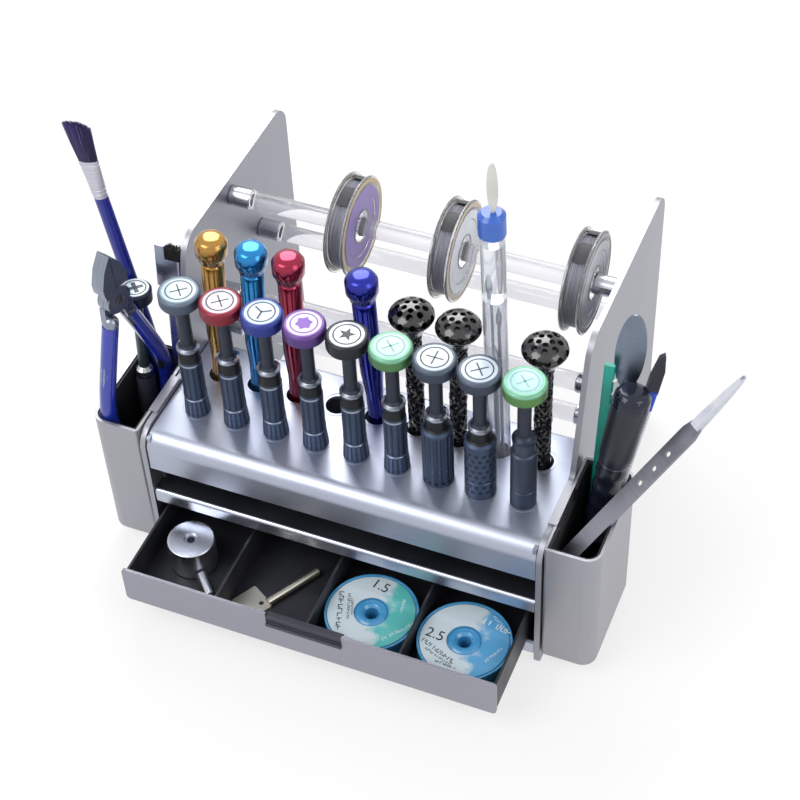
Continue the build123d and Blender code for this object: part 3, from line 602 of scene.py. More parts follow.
@dataclass(frozen=True)
class Banded:
    """A tool in bands of colour along its own axis, each band with its own gloss."""

    name: str
    frame: Matrix
    bands: tuple[tuple[float, Colour, float, float], ...]
    length: float
    ribs: tuple[tuple[float, float, int, float], ...] = ()
    dots: tuple[float, float, int, float] | None = None
    grain: float = 900.0

    def between(self, recipe: Recipe, height: bpy.types.NodeSocket, low: float, high: float):
        """One where the height, in mm, lies between low and high, else nought."""
        above = recipe.math("GREATER_THAN", height, low * MM)
        below = recipe.math("LESS_THAN", height, high * MM)
        return recipe.math("MULTIPLY", above, below)

    def relief(self, recipe: Recipe, own: bpy.types.NodeSocket) -> bpy.types.NodeSocket | None:
        """Share from nought to one of the ribs and dots cut into the tool, or None; it drives their bump and a
        painted shade in the cuts.
        """
        if not self.ribs and not self.dots:
            return None
        height = recipe.axis(own, "Z")
        angle = recipe.math("ARCTAN2", recipe.axis(own, "Y"), recipe.axis(own, "X"))
        total = None
        for low, high, count, depth in self.ribs:
            wave = recipe.math("SINE", recipe.math("MULTIPLY", angle, float(count)), 0.0)
            cut = recipe.spread(wave, 0.0, depth, -0.1, 0.75)
            share = recipe.math("MULTIPLY", cut, self.between(recipe, height, low, high))
            total = share if total is None else recipe.math("ADD", total, share)
        if self.dots:
            low, high, count, pitch = self.dots
            row = recipe.math("MULTIPLY", height, 1 / (pitch * MM))
            turn = recipe.math("MULTIPLY", angle, count / math.tau)
            half = recipe.math("MULTIPLY", recipe.math("FLOOR", row, 0.0), 0.5)
            across = recipe.math("FRACT", recipe.math("ADD", turn, half), 0.0)
            up = recipe.math("FRACT", row, 0.0)
            squares = [
                recipe.math("POWER", recipe.math("ABSOLUTE", recipe.math("SUBTRACT", v, 0.5), 0.0), 2.0)
                for v in (across, up)
            ]
            reach = recipe.math("SQRT", recipe.math("ADD", *squares), 0.0)
            pit = recipe.spread(reach, 1.0, 0.0, 0.2, 0.34)
            share = recipe.math("MULTIPLY", pit, self.between(recipe, height, low, high))
            total = share if total is None else recipe.math("ADD", total, share)
        return total

    def build(self) -> bpy.types.Material:
        """Make the material: bands are (start mm, colour, metallic, roughness)."""
        recipe = Recipe(self.name)
        own = recipe.coordinates(self.frame)
        share = recipe.math("MULTIPLY", recipe.axis(own, "Z"), 1 / (self.length * MM))
        fine = recipe.noise(recipe.coordinates(self.frame, (60.0, 60.0, self.grain)), 1.0, 3.0)
        cloud = recipe.noise(recipe.coordinates(), 70.0, 4.0)
        stops = [(max(0.0, start / self.length), colour) for start, colour, _, _ in self.bands]
        metal = [(max(0.0, s / self.length), (m, r, 0.0)) for s, _, m, r in self.bands]
        shade = recipe.ramp(fine, [(0.3, (0.84, 0.84, 0.84)), (0.7, (1.0, 1.0, 1.0))])
        base = recipe.tint(1.0, recipe.ramp(share, stops, True), shade, "MULTIPLY")
        cuts = self.relief(recipe, own)
        if cuts is not None:
            # Painted shade: the colour is darkened in the ribs' and dots' cuts, where shade falls in the grooves.
            dark = recipe.ramp(cuts, [(0.0, (1.0, 1.0, 1.0)), (1.0, (0.3, 0.32, 0.36))])
            base = recipe.tint(1.0, base, dark, "MULTIPLY")
        recipe.colour(base)
        facts = recipe.node("ShaderNodeSeparateColor")
        recipe.link(recipe.ramp(share, metal, True), facts.inputs["Color"])
        recipe.link(facts.outputs["Red"], recipe.shader.inputs["Metallic"])
        worn = recipe.spread(cloud, -0.04, 0.07)
        recipe.rough(recipe.math("ADD", facts.outputs["Green"], worn))
        heights = [(fine, 0.12, 0.04)]
        if cuts is not None:
            heights.append((recipe.math("SUBTRACT", recipe.spread(cuts, 1.0, 0.0, 0.0, 1.0), 0.0), 0.6, 0.5))
        recipe.bump(*heights)
        return recipe.material


def soften(degrees: float, *nodes: str) -> None:
    """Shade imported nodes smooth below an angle, with live modifiers that join their seams."""
    for node in nodes:
        target = FRAME["nodes"][node]
        Bench.hold(target)
        bpy.ops.object.shade_smooth()
        weld = target.modifiers.new("weld", "WELD")
        weld.merge_threshold = 2e-6
        split = target.modifiers.new("edges", "EDGE_SPLIT")
        split.split_angle = math.radians(degrees)
        split.use_edge_sharp = False


def dress(node: str, material: bpy.types.Material) -> None:
    """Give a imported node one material."""
    target = FRAME["nodes"][node]
    target.data.materials.clear()
    target.data.materials.append(material)


def finish_with(piece: bpy.types.Object, material: bpy.types.Material) -> bpy.types.Object:
    """Give a new piece one material all over."""
    piece.data.materials.clear()
    piece.data.materials.append(material)
    return piece


def settle(piece: bpy.types.Object, body: str, slot: str, *replaced: str) -> None:
    """Ride a finished piece on its body and report it."""
    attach(piece, body)
    if replaced:
        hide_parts(*replaced)
    LOG.info("%s rides on %s, %d faces", piece.name, body, len(piece.data.polygons))


# --- cabinet ----------------------------------------------------------------------------------


@dataclass
class Cabinet:
    """Deck cover, side plates, shelves, rods and collars."""

    silver: Colour = (0.44, 0.47, 0.56)
    plate_grey: Colour = (0.37, 0.375, 0.41)

    def dress(self) -> None:
        """Give the folded sheets, plates, rods and collars their finishes, with painted shade on the shelves' top
        faces inside the slot.
        """
        dress("deck_cover", BrushedMetal("deck_brushed", self.silver, Grain.ALONG_X, 0.36).build())
        plate = BrushedMetal("plate_satin", self.plate_grey, Grain.ALONG_Z, 0.42).build()
        dress("left_side_plate", plate)
        dress("right_side_plate", plate)
        shelf = BrushedMetal("shelf_satin", (0.5, 0.53, 0.62), Grain.ALONG_X, 0.28).build()
        # Painted shade: a near-black second material on the shelves' upward faces inside the slot stands for the
        # shade that falls there.
        dark = Moulded("shelf_painted_shade", (0.006, 0.007, 0.012), 0.5, 1800.0).build()
        for name in ("middle_shelf", "base_shelf"):
            dress(name, shelf)
            node = FRAME["nodes"][name]
            node.data.materials.append(dark)
            for polygon in node.data.polygons:
                inside = polygon.center.y > -0.0262
                if polygon.normal.z > 0.8 and inside:
                    polygon.material_index = 1
        dress("shelf_screws", TurnedMetal("screw_steel", (0.5, 0.52, 0.58)).build())
        dress("clear_rods", Clear("rod_acrylic", (0.93, 0.93, 0.97)).build())
        across = Matrix.Rotation(math.pi / 2, 4, "Y")
        dress("rod_collars", TurnedMetal("collar_steel", (0.6, 0.62, 0.68), across, 0.2).build())
        LOG.info("cabinet dressed")


@dataclass
class Pockets:
    """Folded side pockets and their dark linings."""

    silver: Colour = (0.385, 0.385, 0.415)

    def dress(self) -> None:
        """Give the pockets and linings their finishes."""
        metal = BrushedMetal("pocket_brushed", self.silver, Grain.ALONG_Z, 0.42).build()
        dress("left_pocket", metal)
        dress("right_pocket", metal)
        dress("pocket_liners", Moulded("liner_black", (0.012, 0.012, 0.016), 0.6, 1800.0).build())
        soften(30.0, "pocket_liners", "left_pocket", "right_pocket")
        LOG.info("pockets dressed")


# --- reels ------------------------------------------------------------------------------------


@dataclass
class Reels:
    """Clear reels on the rod: wound strips, printed rims and paper rings."""

    rim_label_radius: float = 27.55
    centres: tuple[Colour, ...] = ((0.26, 0.18, 0.5), (0.8, 0.82, 0.9), (0.66, 0.69, 0.75))
    edges: tuple[Colour, ...] = ((0.6, 0.45, 0.24), (0.66, 0.54, 0.4), (0.5, 0.5, 0.52))

    def axle_frame(self, x: float) -> Matrix:
        """Frame of a reel at x mm, with Z along the rod."""
        centre = Vector((x, *SPOOL_AXIS)) * MM
        return Matrix.Translation(centre) @ Matrix.Rotation(math.pi / 2, 4, "Y")

    def wound(self, number: int) -> None:
        """The wound strip of one reel as stepped turns, darker between its edges."""
        half = 3.85
        stations: list[Station] = [(8.5, -half), (8.5, half)]
        turns = 16
        for i in range(turns + 1):
            z = half - 2 * half * i / turns
            stations.append((24.55 - (0.28 if i % 2 else 0.0), z))
        piece = Bench.ring(f"wound_strip_{number}", stations, 72)
        Bench.smooth(piece, 25.0)
        recipe = Recipe(f"wound_strip_{number}")
        recipe.constants(Metallic=0.35)
        frame = self.axle_frame(SPOOL_X[number - 1])
        own = recipe.coordinates(frame, (40.0, 40.0, 3000.0))
        thread = recipe.noise(own, 1.0, 2.0)
        recipe.colour(recipe.ramp(thread, [(0.3, (0.1, 0.1, 0.13)), (0.7, (0.36, 0.37, 0.42))]))
        recipe.rough(recipe.spread(thread, 0.3, 0.5))
        finish_with(piece, recipe.material)
        Bench.place(piece, frame)
        settle(piece, f"reel_{number}", "winding_dark", f"winding_{number}")

    def face_rings(self, number: int) -> None:
        """Paper rings and centres laid on both outer faces of one reel."""
        centre = Moulded(f"reel_paper_{number}", self.centres[number - 1], 0.35, 900.0, 0.05).build()
        edge = Moulded(f"reel_edge_{number}", self.edges[number - 1], 0.4, 900.0, 0.05).build()
        parts = []
        for side in (-1, 1):
            low = 5.4 * side - (0.47 if side > 0 else -0.37)
            high = low + 0.1
            inner = Bench.ring("inner", [(9.6, low), (17.3, low), (17.3, high), (9.6, high)], 64)
            finish_with(inner, centre)
            level = 5.4 * side + (0.01 if side > 0 else -0.11)
            for near, far, tone in ((17.8, 22.4, centre), (24.2, 26.4, edge)):
                line = [(near, level), (far, level), (far, level + 0.1), (near, level + 0.1)]
                parts.append(finish_with(Bench.ring("outer", line, 64), tone))
            parts.append(inner)
        piece = Bench.join(f"reel_papers_{number}", parts)
        Bench.place(piece, self.axle_frame(SPOOL_X[number - 1]))
        settle(piece, f"reel_{number}", "bobbin_blue")

    def rim_labels(self, number: int) -> None:
        """A white strip and dark bars wrapped over the rim between the flanges."""
        white = Moulded("rim_label_white", (0.82, 0.83, 0.86), 0.4, 900.0, 0.05).build()
        ink = Moulded("rim_label_ink", (0.03, 0.03, 0.035), 0.5, 900.0, 0.05).build()
        parts = []
        for start, end, material, half, radius in self.label_spans():
            steps = max(2, int((end - start) / 6))
            strip = self.wrapped_strip(start, end, steps, half, radius)
            parts.append(finish_with(strip, material(white, ink)))
        piece = Bench.join(f"rim_label_{number}", parts)
        Bench.smooth(piece)
        Bench.place(piece, self.axle_frame(SPOOL_X[number - 1]))
        settle(piece, f"reel_{number}", "label_white")

    def label_spans(self) -> list[tuple[float, float, Callable, float, float]]:
        """Angles in degrees of the label, its bars and the dark windows of a rim."""
        spans = [(96.0, 152.0, lambda white, ink: white, 3.6, 25.6)]
        for i, width in enumerate((3.0, 5.0, 3.0, 6.5)):
            start = 104.0 + i * 11.5
            spans.append((start, start + width, lambda white, ink: ink, 2.6, 25.75))
        for start, end in ((60.0, 88.0), (158.0, 200.0), (208.0, 236.0)):
            spans.append((start, end, lambda white, ink: ink, 3.0, 25.5))
        return spans

    def wrapped_strip(
        self, start: float, end: float, steps: int, half: float, radius: float
    ) -> bpy.types.Object:
        """A thin curved strip between two angles, spun from one short edge."""
        Bench.clear()
        bpy.ops.mesh.primitive_plane_add(size=MM)
        piece = bpy.context.object
        corners = ((radius, -half), (radius + 0.12, -half), (radius, half), (radius + 0.12, half))
        for vertex, (r, z) in zip(piece.data.vertices, corners):
            turn = math.radians(start)
            vertex.co = Vector((r * math.cos(turn), r * math.sin(turn), z)) * MM
        bpy.ops.object.mode_set(mode="EDIT")
        bpy.ops.mesh.select_all(action="SELECT")
        bpy.ops.mesh.spin(
            steps=steps, angle=math.radians(end - start), center=(0, 0, 0), axis=(0, 0, 1)
        )
        bpy.ops.mesh.select_all(action="SELECT")
        bpy.ops.mesh.normals_make_consistent(inside=False)
        bpy.ops.object.mode_set(mode="OBJECT")
        return piece

    def build(self) -> None:
        """Make all three reels' pieces."""
        for number in (1, 2, 3):
            dress(f"spool_{number}", Clear(f"reel_acrylic_{number}", (0.98, 0.98, 1.0), 0.02).build())
            soften(30.0, f"spool_{number}")
            self.wound(number)
            self.face_rings(number)
            self.rim_labels(number)


# --- drawer -----------------------------------------------------------------------------------


@dataclass
class Drawer:
    """Drawer, its pull and the things that lie in it."""

    bobbin_y: float = -49.8
    bobbin_x: tuple[float, float] = (26.075, 78.225)
    bobbin_top: float = 29.7
    numbers: tuple[str, str] = ("1.5", "2.5")

    def dress(self) -> None:
        """Finish the tray, the front, the pull and the loose metal things."""
        dress("drawer_tray", Moulded("tray_black", (0.014, 0.015, 0.02), 0.42, 1500.0).build())
        front = BrushedMetal("front_brushed", (0.35, 0.35, 0.4), Grain.ALONG_X, 0.42).build()
        dress("drawer_front", front)
        dress("finger_pull", Moulded("pull_black", (0.022, 0.025, 0.04), 0.35, 1500.0).build())
        dress("tip_cleaner", TurnedMetal("cleaner_steel", (0.62, 0.64, 0.7), None, 0.3).build())
        dress("scraper", TurnedMetal("scraper_brass", (0.6, 0.58, 0.5), None, 0.38).build())
        bobbin = Moulded("bobbin_blue", (0.06, 0.32, 0.62), 0.24, 1600.0, 0.05, coat=0.5)
        dress("wick_bobbins", bobbin.build())
        soften(30.0, "tip_cleaner", "scraper", "wick_bobbins")

    def bobbin_paper(self, index: int) -> None:
        """A paper ring with a blue part, a number and short ink lines on one bobbin."""
        recipe = Recipe(f"bobbin_paper_{index + 1}")
        recipe.constants(Roughness=0.4, Coat_Weight=0.4, Coat_Roughness=0.1)
        centre = Matrix.Translation(Vector((self.bobbin_x[index], self.bobbin_y, 0)) * MM)
        own = recipe.coordinates(centre)
        cloud = recipe.noise(own, 120.0, 5.0)
        side = recipe.math("ADD", recipe.axis(own, "X"), recipe.spread(cloud, -0.006, 0.006))
        tone = (0.1, 0.52, 0.5) if index == 0 else (0.1, 0.38, 0.68)
        share = recipe.spread(side, 0.0, 1.0, 0.001, 0.012)
        recipe.colour(recipe.ramp(share, [(0.2, (0.6, 0.7, 0.76)), (0.75, tone)]))
        fibre = recipe.noise(recipe.coordinates(), 4000.0, 2.0)
        recipe.bump((fibre, 0.08, 0.03))
        low, high = 0.02, 0.14
        ring = Bench.ring("paper", [(9.3, low), (23.2, low), (23.2, high), (9.3, high)], 72)
        finish_with(ring, recipe.material)
        ink = Moulded(f"bobbin_ink_{index + 1}", (0.02, 0.022, 0.03), 0.5, 900.0, 0.05).build()
        pale = Moulded(f"bobbin_pale_{index + 1}", (0.7, 0.82, 0.86), 0.5, 900.0, 0.05).build()
        parts = [ring]
        number = Bench.lettering("number", self.numbers[index], 8.5, 0.08)
        turn, reach, slant = ((96.0, 17.6, -10.0), (186.0, 15.6, -4.0))[index]
        away = Vector((math.cos(math.radians(turn)), math.sin(math.radians(turn)), 0)) * reach
        spot = Matrix.Translation((away + Vector((0, 0, high + 0.03))) * MM)
        Bench.place(number, spot @ Matrix.Rotation(math.radians(slant), 4, "Z"))
        parts.append(finish_with(number, ink))
        for start, way, count, height, tone_of in self.ink_rows(index, ink, pale):
            level = Vector((0, 0, high + 0.04))
            parts += self.strokes(start, way, count, height, level, tone_of, 31 * index + count)
        piece = Bench.join(f"bobbin_label_{index + 1}", parts)
        place = Vector((self.bobbin_x[index], self.bobbin_y, self.bobbin_top)) * MM
        Bench.place(piece, Matrix.Translation(place))
        settle(piece, "drawer", "label_white")

    def ink_rows(
        self, index: int, ink: bpy.types.Material, pale: bpy.types.Material
    ) -> list[tuple[Station, float, int, float, bpy.types.Material]]:
        """Rows of strokes on one label: start mm, way in degrees, count, height and ink."""
        if index == 0:
            return [
                ((-19.4, 6.0), -72.0, 9, 2.6, ink),
                ((-15.2, 6.6), -70.0, 11, 1.5, ink),
                ((-12.6, 4.0), -66.0, 8, 1.3, ink),
                ((-7.0, -19.8), 2.0, 8, 1.9, pale),
                ((12.6, -13.6), 52.0, 10, 1.9, pale),
                ((14.6, 6.0), 100.0, 6, 1.4, pale),
            ]
        return [
            ((-19.5, -7.0), -22.0, 9, 2.4, ink),
            ((-16.4, -11.6), -20.0, 11, 1.5, ink),
            ((-9.0, -17.0), -6.0, 8, 1.4, ink),
            ((6.6, 15.6), -12.0, 5, 3.2, pale),
            ((9.6, 19.4), -30.0, 6, 1.4, pale),
            ((15.2, -8.0), 66.0, 7, 1.6, pale),
        ]

    def strokes(
        self,
        start: Station,
        way: float,
        count: int,
        height: float,
        level: Vector,
        tone: bpy.types.Material,
        seed: int,
    ) -> list[bpy.types.Object]:
        """A row of short meaningless ink strokes, as small print looks from afar."""
        rng = random.Random(seed)
        run = Matrix.Rotation(math.radians(way), 4, "Z")
        made = []
        reach = 0.0
        for _ in range(count):
            wide = height * rng.uniform(0.5, 0.8)
            thin = height * 0.2
            bars = [((thin, height), (-wide / 2, 0.0))]
            if rng.random() < 0.7:
                bars.append(((wide, thin), (0.0, rng.choice((-0.4, 0.0, 0.4)) * height)))
            if rng.random() < 0.6:
                bars.append(((thin, height * 0.6), (wide / 2, rng.choice((-0.2, 0.2)) * height)))
            for (size_x, size_y), (off_x, off_y) in bars:
                mark = Bench.slab("stroke", (size_x, size_y, 0.06))
                offset = run @ Vector((reach + off_x, off_y, 0))
                at = Vector((*start, 0)) + offset + level
                made.append(finish_with(Bench.place(mark, Matrix.Translation(at * MM) @ run), tone))
            reach += wide + height * 0.42
        return made

    def build(self) -> None:
        """Finish the drawer and lay its labels."""
        self.dress()
        for index in (0, 1):
            self.bobbin_paper(index)


# --- front row --------------------------------------------------------------------------------


class Mark(Enum):
    """Plain signs for the kinds of screw, on the cap inlays."""

    CROSS = "cross"
    TRI = "tri"
    SIX = "six"
    FIVE = "five"
    BOLD = "bold"


@dataclass(frozen=True)
class CapLook:
    """Colours and sign of one cap."""

    body: Colour
    top: Colour
    face: Colour
    sign: Colour
    mark: Mark
    turn: float = 45.0


@dataclass
class FrontRow:
    """Precision drivers with turning caps."""

    caps: tuple[CapLook, ...] = (
        CapLook((0.06, 0.085, 0.13), (0.13, 0.18, 0.24), (0.5, 0.62, 0.68), (0.05, 0.08, 0.1), Mark.CROSS, 40),
        CapLook((0.2, 0.008, 0.025), (0.24, 0.014, 0.035), (0.62, 0.6, 0.7), (0.05, 0.03, 0.05), Mark.CROSS, 40),
        CapLook((0.015, 0.03, 0.24), (0.025, 0.045, 0.27), (0.55, 0.7, 0.8), (0.015, 0.02, 0.08), Mark.TRI, 30),
        CapLook((0.085, 0.035, 0.2), (0.14, 0.06, 0.28), (0.66, 0.56, 0.76), (0.19, 0.06, 0.45), Mark.SIX, 0),
        CapLook((0.006, 0.008, 0.018), (0.008, 0.01, 0.02), (0.68, 0.76, 0.8), (0.008, 0.01, 0.02), Mark.FIVE, 0),
        CapLook((0.07, 0.2, 0.07), (0.19, 0.45, 0.3), (0.42, 0.68, 0.62), (0.2, 0.4, 0.38), Mark.CROSS, 45),
        CapLook((0.03, 0.045, 0.075), (0.07, 0.1, 0.14), (0.6, 0.7, 0.78), (0.015, 0.025, 0.04), Mark.CROSS, 0),
        CapLook((0.03, 0.04, 0.07), (0.085, 0.11, 0.16), (0.56, 0.66, 0.76), (0.035, 0.045, 0.07), Mark.CROSS, 38),
        CapLook((0.085, 0.23, 0.06), (0.2, 0.48, 0.32), (0.4, 0.7, 0.68), (0.24, 0.5, 0.5), Mark.CROSS, 45),
    )
    slate: Colour = (0.05, 0.075, 0.13)
    neck: Colour = (0.03, 0.037, 0.058)
    ring: Colour = (0.34, 0.37, 0.44)
    black: Colour = (0.012, 0.013, 0.016)

    def sign(self, look: CapLook) -> list[bpy.types.Object]:
        """The sign of one cap as thin pieces about the origin, 0.1 mm thick."""
        parts = []
        if look.mark in (Mark.CROSS, Mark.BOLD):
            long, wide = (9.2, 0.8) if look.mark is Mark.CROSS else (8.8, 2.3)
            for turn in (0.0, 90.0):
                bar = Bench.slab("bar", (long, wide, 0.1))
                parts.append(Bench.place(bar, Matrix.Rotation(math.radians(look.turn + turn), 4, "Z")))
        elif look.mark is Mark.TRI:
            for turn in (0.0, 120.0, 240.0):
                bar = Bench.slab("bar", (5.4, 1.0, 0.1), (2.5, 0.0, 0.0))
                angle = math.radians(look.turn + turn)
                parts.append(Bench.place(bar, Matrix.Rotation(angle, 4, "Z")))
        else:
            points, deep = (6, 0.74) if look.mark is Mark.SIX else (5, 0.42)
            corners = []
            for i in range(2 * points):
                angle = math.pi / 2 + math.radians(look.turn) + math.pi * i / points
                radius = 4.6 * (deep if i % 2 else 1.0)
                corners.append((radius * math.cos(angle), radius * math.sin(angle)))
            parts.append(Bench.outline("star", corners, 0.1))
            Bench.place(parts[-1], Matrix.Translation((0, 0, -0.05 * MM)))
        return parts

    def inlay(self, name: str, look: CapLook, radius: float, frame: Matrix) -> bpy.types.Object:
        """A pale disc with a dark ring and the sign, for the recess in a cap."""
        face = Moulded(f"{name}_face", look.face, 0.3, 1500.0, 0.04, coat=0.4, worn=0.03).build()
        ink = Moulded(f"{name}_ink", look.sign, 0.4, 1500.0, 0.05, worn=0.05).build()
        disc = Bench.turned("disc", [(radius, 0.0), (radius, 0.16), (radius - 0.25, 0.24)], 64)
        parts = [finish_with(disc, face)]
        inner = radius * 0.73
        line = [(inner, 0.24), (inner + 0.75, 0.24), (inner + 0.75, 0.3), (inner, 0.3)]
        parts.append(finish_with(Bench.ring("line", line, 64), ink))
        for bar in self.sign(look):
            Bench.place(bar, Matrix.Translation((0, 0, 0.26 * MM)))
            parts.append(finish_with(bar, ink))
        piece = Bench.join(name, parts)
        Bench.smooth(piece)
        return Bench.place(piece, frame)

    def driver_bands(self, number: int) -> tuple[tuple[float, Colour, float, float], ...]:
        """Bands of one driver from its blade tip up, in mm over the tip."""
        tip = 36.0
        wide = number in (7, 8)
        plain = number == 9
        barrel = (0.045, 0.06, 0.095) if plain else self.slate
        low = barrel if wide or plain else (0.085, 0.12, 0.2)
        bands = [
            (0.0, (0.3, 0.3, 0.32), 1.0, 0.3),
            (tip, low, 0.7, 0.46 if plain else 0.36),
            (tip + 11.0, barrel if wide or plain else self.ring, 0.9, 0.3),
            (tip + 12.0, barrel, 0.65, 0.42),
        ]
        if not (wide or plain):
            bands.append((tip + 36.4, self.ring, 1.0, 0.3))
            bands.append((tip + 37.3, self.slate, 0.7, 0.4))
        bands += [
            (tip + 38.4, self.black if not plain else barrel, 0.5, 0.4),
            (tip + 46.0, self.ring if not plain else barrel, 1.0, 0.28),
            (tip + 47.9, self.neck, 0.5, 0.42),
        ]
        return tuple(bands)

    def build(self) -> None:
        """Finish the drivers and caps and lay the inlays."""
        for number, look in enumerate(self.caps, start=1):
            x = hole_x(number - 1)
            foot = standing_frame(x, 0.0, DECK_TOP - 36.0)
            plain_barrel = ((36.4, 46.6, 16, 0.9), (49.0, 72.0, 12, 0.75), (74.6, 81.5, 1, 0.0))
            styles = {7: ((37.0, 72.0, 14, 0.6),), 8: (), 9: ()}
            finish = Banded(
                f"driver_finish_{number}",
                foot,
                self.driver_bands(number),
                130.0,
                ribs=styles.get(number, plain_barrel[:2]),
                dots=(38.0, 71.0, 13, 3.9) if number == 8 else None,
            )
            dress(f"driver_{number}", finish.build())
            soften(28.0, f"driver_{number}", f"cap_{number}")
            cap_foot = standing_frame(x, 0.0, DECK_TOP + 78.5)
            shell = ((0.0, look.body, 0.35, 0.36), (6.6, look.top, 0.3, 0.34))
            dress(f"cap_{number}", Banded(f"cap_finish_{number}", cap_foot, shell, 8.3).build())
            seat = standing_frame(x, 0.0, DECK_TOP + CAP_TOP - 0.3 + 0.01)
            piece = self.inlay(f"cap_inlay_{number}", look, 8.8, seat)
            settle(piece, f"cap_{number}", "label_white")


# --- back row ---------------------------------------------------------------------------------


@dataclass
class BackRow:
    """Anodised knob drivers, lattice drivers and the clear case."""

    knobs: dict[str, tuple[int, float, Colour]] = field(
        default_factory=lambda: {
            "gold_driver": (0, 3.2, (0.46, 0.24, 0.045)),
            "sky_driver": (1, 2.8, (0.008, 0.24, 0.6)),
            "red_driver": (2, 1.4, (0.34, 0.01, 0.05)),
            "navy_driver": (4, -2.3, (0.008, 0.016, 0.34)),
        }
    )
    lattices: tuple[tuple[int, float], ...] = ((5, -0.4), (6, 1.0), (8, 0.3))
    shelf_reach: float = 41.5

    def frame_at(self, column: int, lean: float) -> Matrix:
        """Frame of a back row tool at the deck."""
        return standing_frame(hole_x(column), BACK_ROW_Y, DECK_TOP, lean)

    def anodised(self) -> None:
        """Finish the four coloured drivers."""
        for name, (column, lean, colour) in self.knobs.items():
            frame = self.frame_at(column, lean)
            recipe = Recipe(f"{name}_anodised")
            recipe.constants(Metallic=0.85, Coat_Weight=0.6, Coat_Roughness=0.05)
            rings = recipe.noise(recipe.coordinates(frame, (40.0, 40.0, 2200.0)), 1.0, 3.0)
            cloud = recipe.noise(recipe.coordinates(), 80.0, 4.0)
            dark = tuple(c * 0.78 for c in colour)
            recipe.colour(recipe.ramp(rings, [(0.3, dark), (0.7, colour)]))
            recipe.rough(recipe.spread(cloud, 0.16, 0.28))
            recipe.bump((rings, 0.08, 0.03))
            dress(name, recipe.material)
            soften(55.0, name)

    def lattice(self, number: int) -> None:
        """An open lattice shaft round a dark core under a pierced mushroom head."""
        column, lean = self.lattices[number - 1]
        frame = self.frame_at(column, lean)
        black = Moulded(f"lattice_gloss_{number}", (0.006, 0.006, 0.007), 0.14, 1400.0, 0.04, coat=0.8).build()
        core_black = Moulded(f"lattice_core_{number}", (0.06, 0.06, 0.065), 0.3, 1400.0, 0.05).build()
        parts = [
            finish_with(
                Bench.turned("core", [(1.4, -self.shelf_reach + 0.1), (2.7, -38.0), (2.7, 71.0), (2.0, 73.0)], 24),
                core_black,
            )
        ]
        pitch, start, end, turns = 4.75, -39.0, 68.0, 3.4
        for strand in range(6):
            for way in (-1, 1):
                points = []
                for i in range(55):
                    share = i / 54
                    angle = way * math.tau * turns * share + math.tau * strand / 6
                    height = start + (end - start) * share
                    radius = pitch - 0.75
                    points.append(Vector((radius * math.cos(angle), radius * math.sin(angle), height)) * MM)
                parts.append(finish_with(Bench.rod_along("strand", points, 0.72, 1), black))
        for height in (-38.5, 0.2, 32.0, 67.5):
            ring = [(3.6, height), (5.0, height), (5.0, height + 1.6), (3.6, height + 1.6)]
            parts.append(finish_with(Bench.ring("band", ring, 32), black))
        parts.append(finish_with(self.mushroom(), black))
        piece = Bench.join(f"lattice_tool_{number}", parts)
        Bench.smooth(piece, 40.0)
        Bench.place(piece, frame)
        settle(piece, f"lattice_driver_{number}", "black_metal", f"lattice_driver_{number}")

    def mushroom(self) -> bpy.types.Object:
        """A hollow domed head pierced by rows of round holes."""
        stations = [
            (3.4, 67.0), (4.9, 69.0), (7.4, 75.0), (9.3, 77.4), (10.8, 79.0), (11.75, 80.8),
            (11.8, 81.8), (11.1, 83.7), (9.2, 85.7), (6.0, 87.4), (2.6, 88.2), (0.6, 88.3),
        ]
        head = Bench.turned("head", stations, 48)
        Bench.clear()
        bpy.ops.mesh.primitive_uv_sphere_add(segments=32, ring_count=16, radius=MM)
        hollow = bpy.context.object
        hollow.scale = (10.0, 10.0, 5.2)
        Bench.place(hollow, Matrix.Translation((0, 0, 81.4 * MM)) @ Matrix.Diagonal((10.0, 10.0, 5.2, 1)))
        cutters = [hollow]
        rows = ((11, 74.0, 1.75, 0.0), (8, 45.0, 1.7, 15.0), (5, 22.0, 1.5, 0.0), (11, 112.0, 1.6, 16.0))
        for count, tilt, radius, turn in rows:
            for i in range(count):
                Bench.clear()
                bpy.ops.mesh.primitive_cylinder_add(vertices=16, radius=radius * MM, depth=9.0 * MM)
                cutter = bpy.context.object
                around = Matrix.Rotation(math.radians(turn + 360.0 * i / count), 4, "Z")
                leant = Matrix.Rotation(math.radians(tilt), 4, "Y")
                centre = Matrix.Translation((0, 0, 79.6 * MM))
                reach = 8.0 if tilt < 60 else 10.0
                Bench.place(cutter, centre @ around @ leant @ Matrix.Translation((0, 0, reach * MM)))
                cutters.append(cutter)
        tool = Bench.join("drills", cutters)
        Bench.modify(head, "BOOLEAN", operation="DIFFERENCE", object=tool, solver="EXACT")
        Bench.drop(tool)
        return head

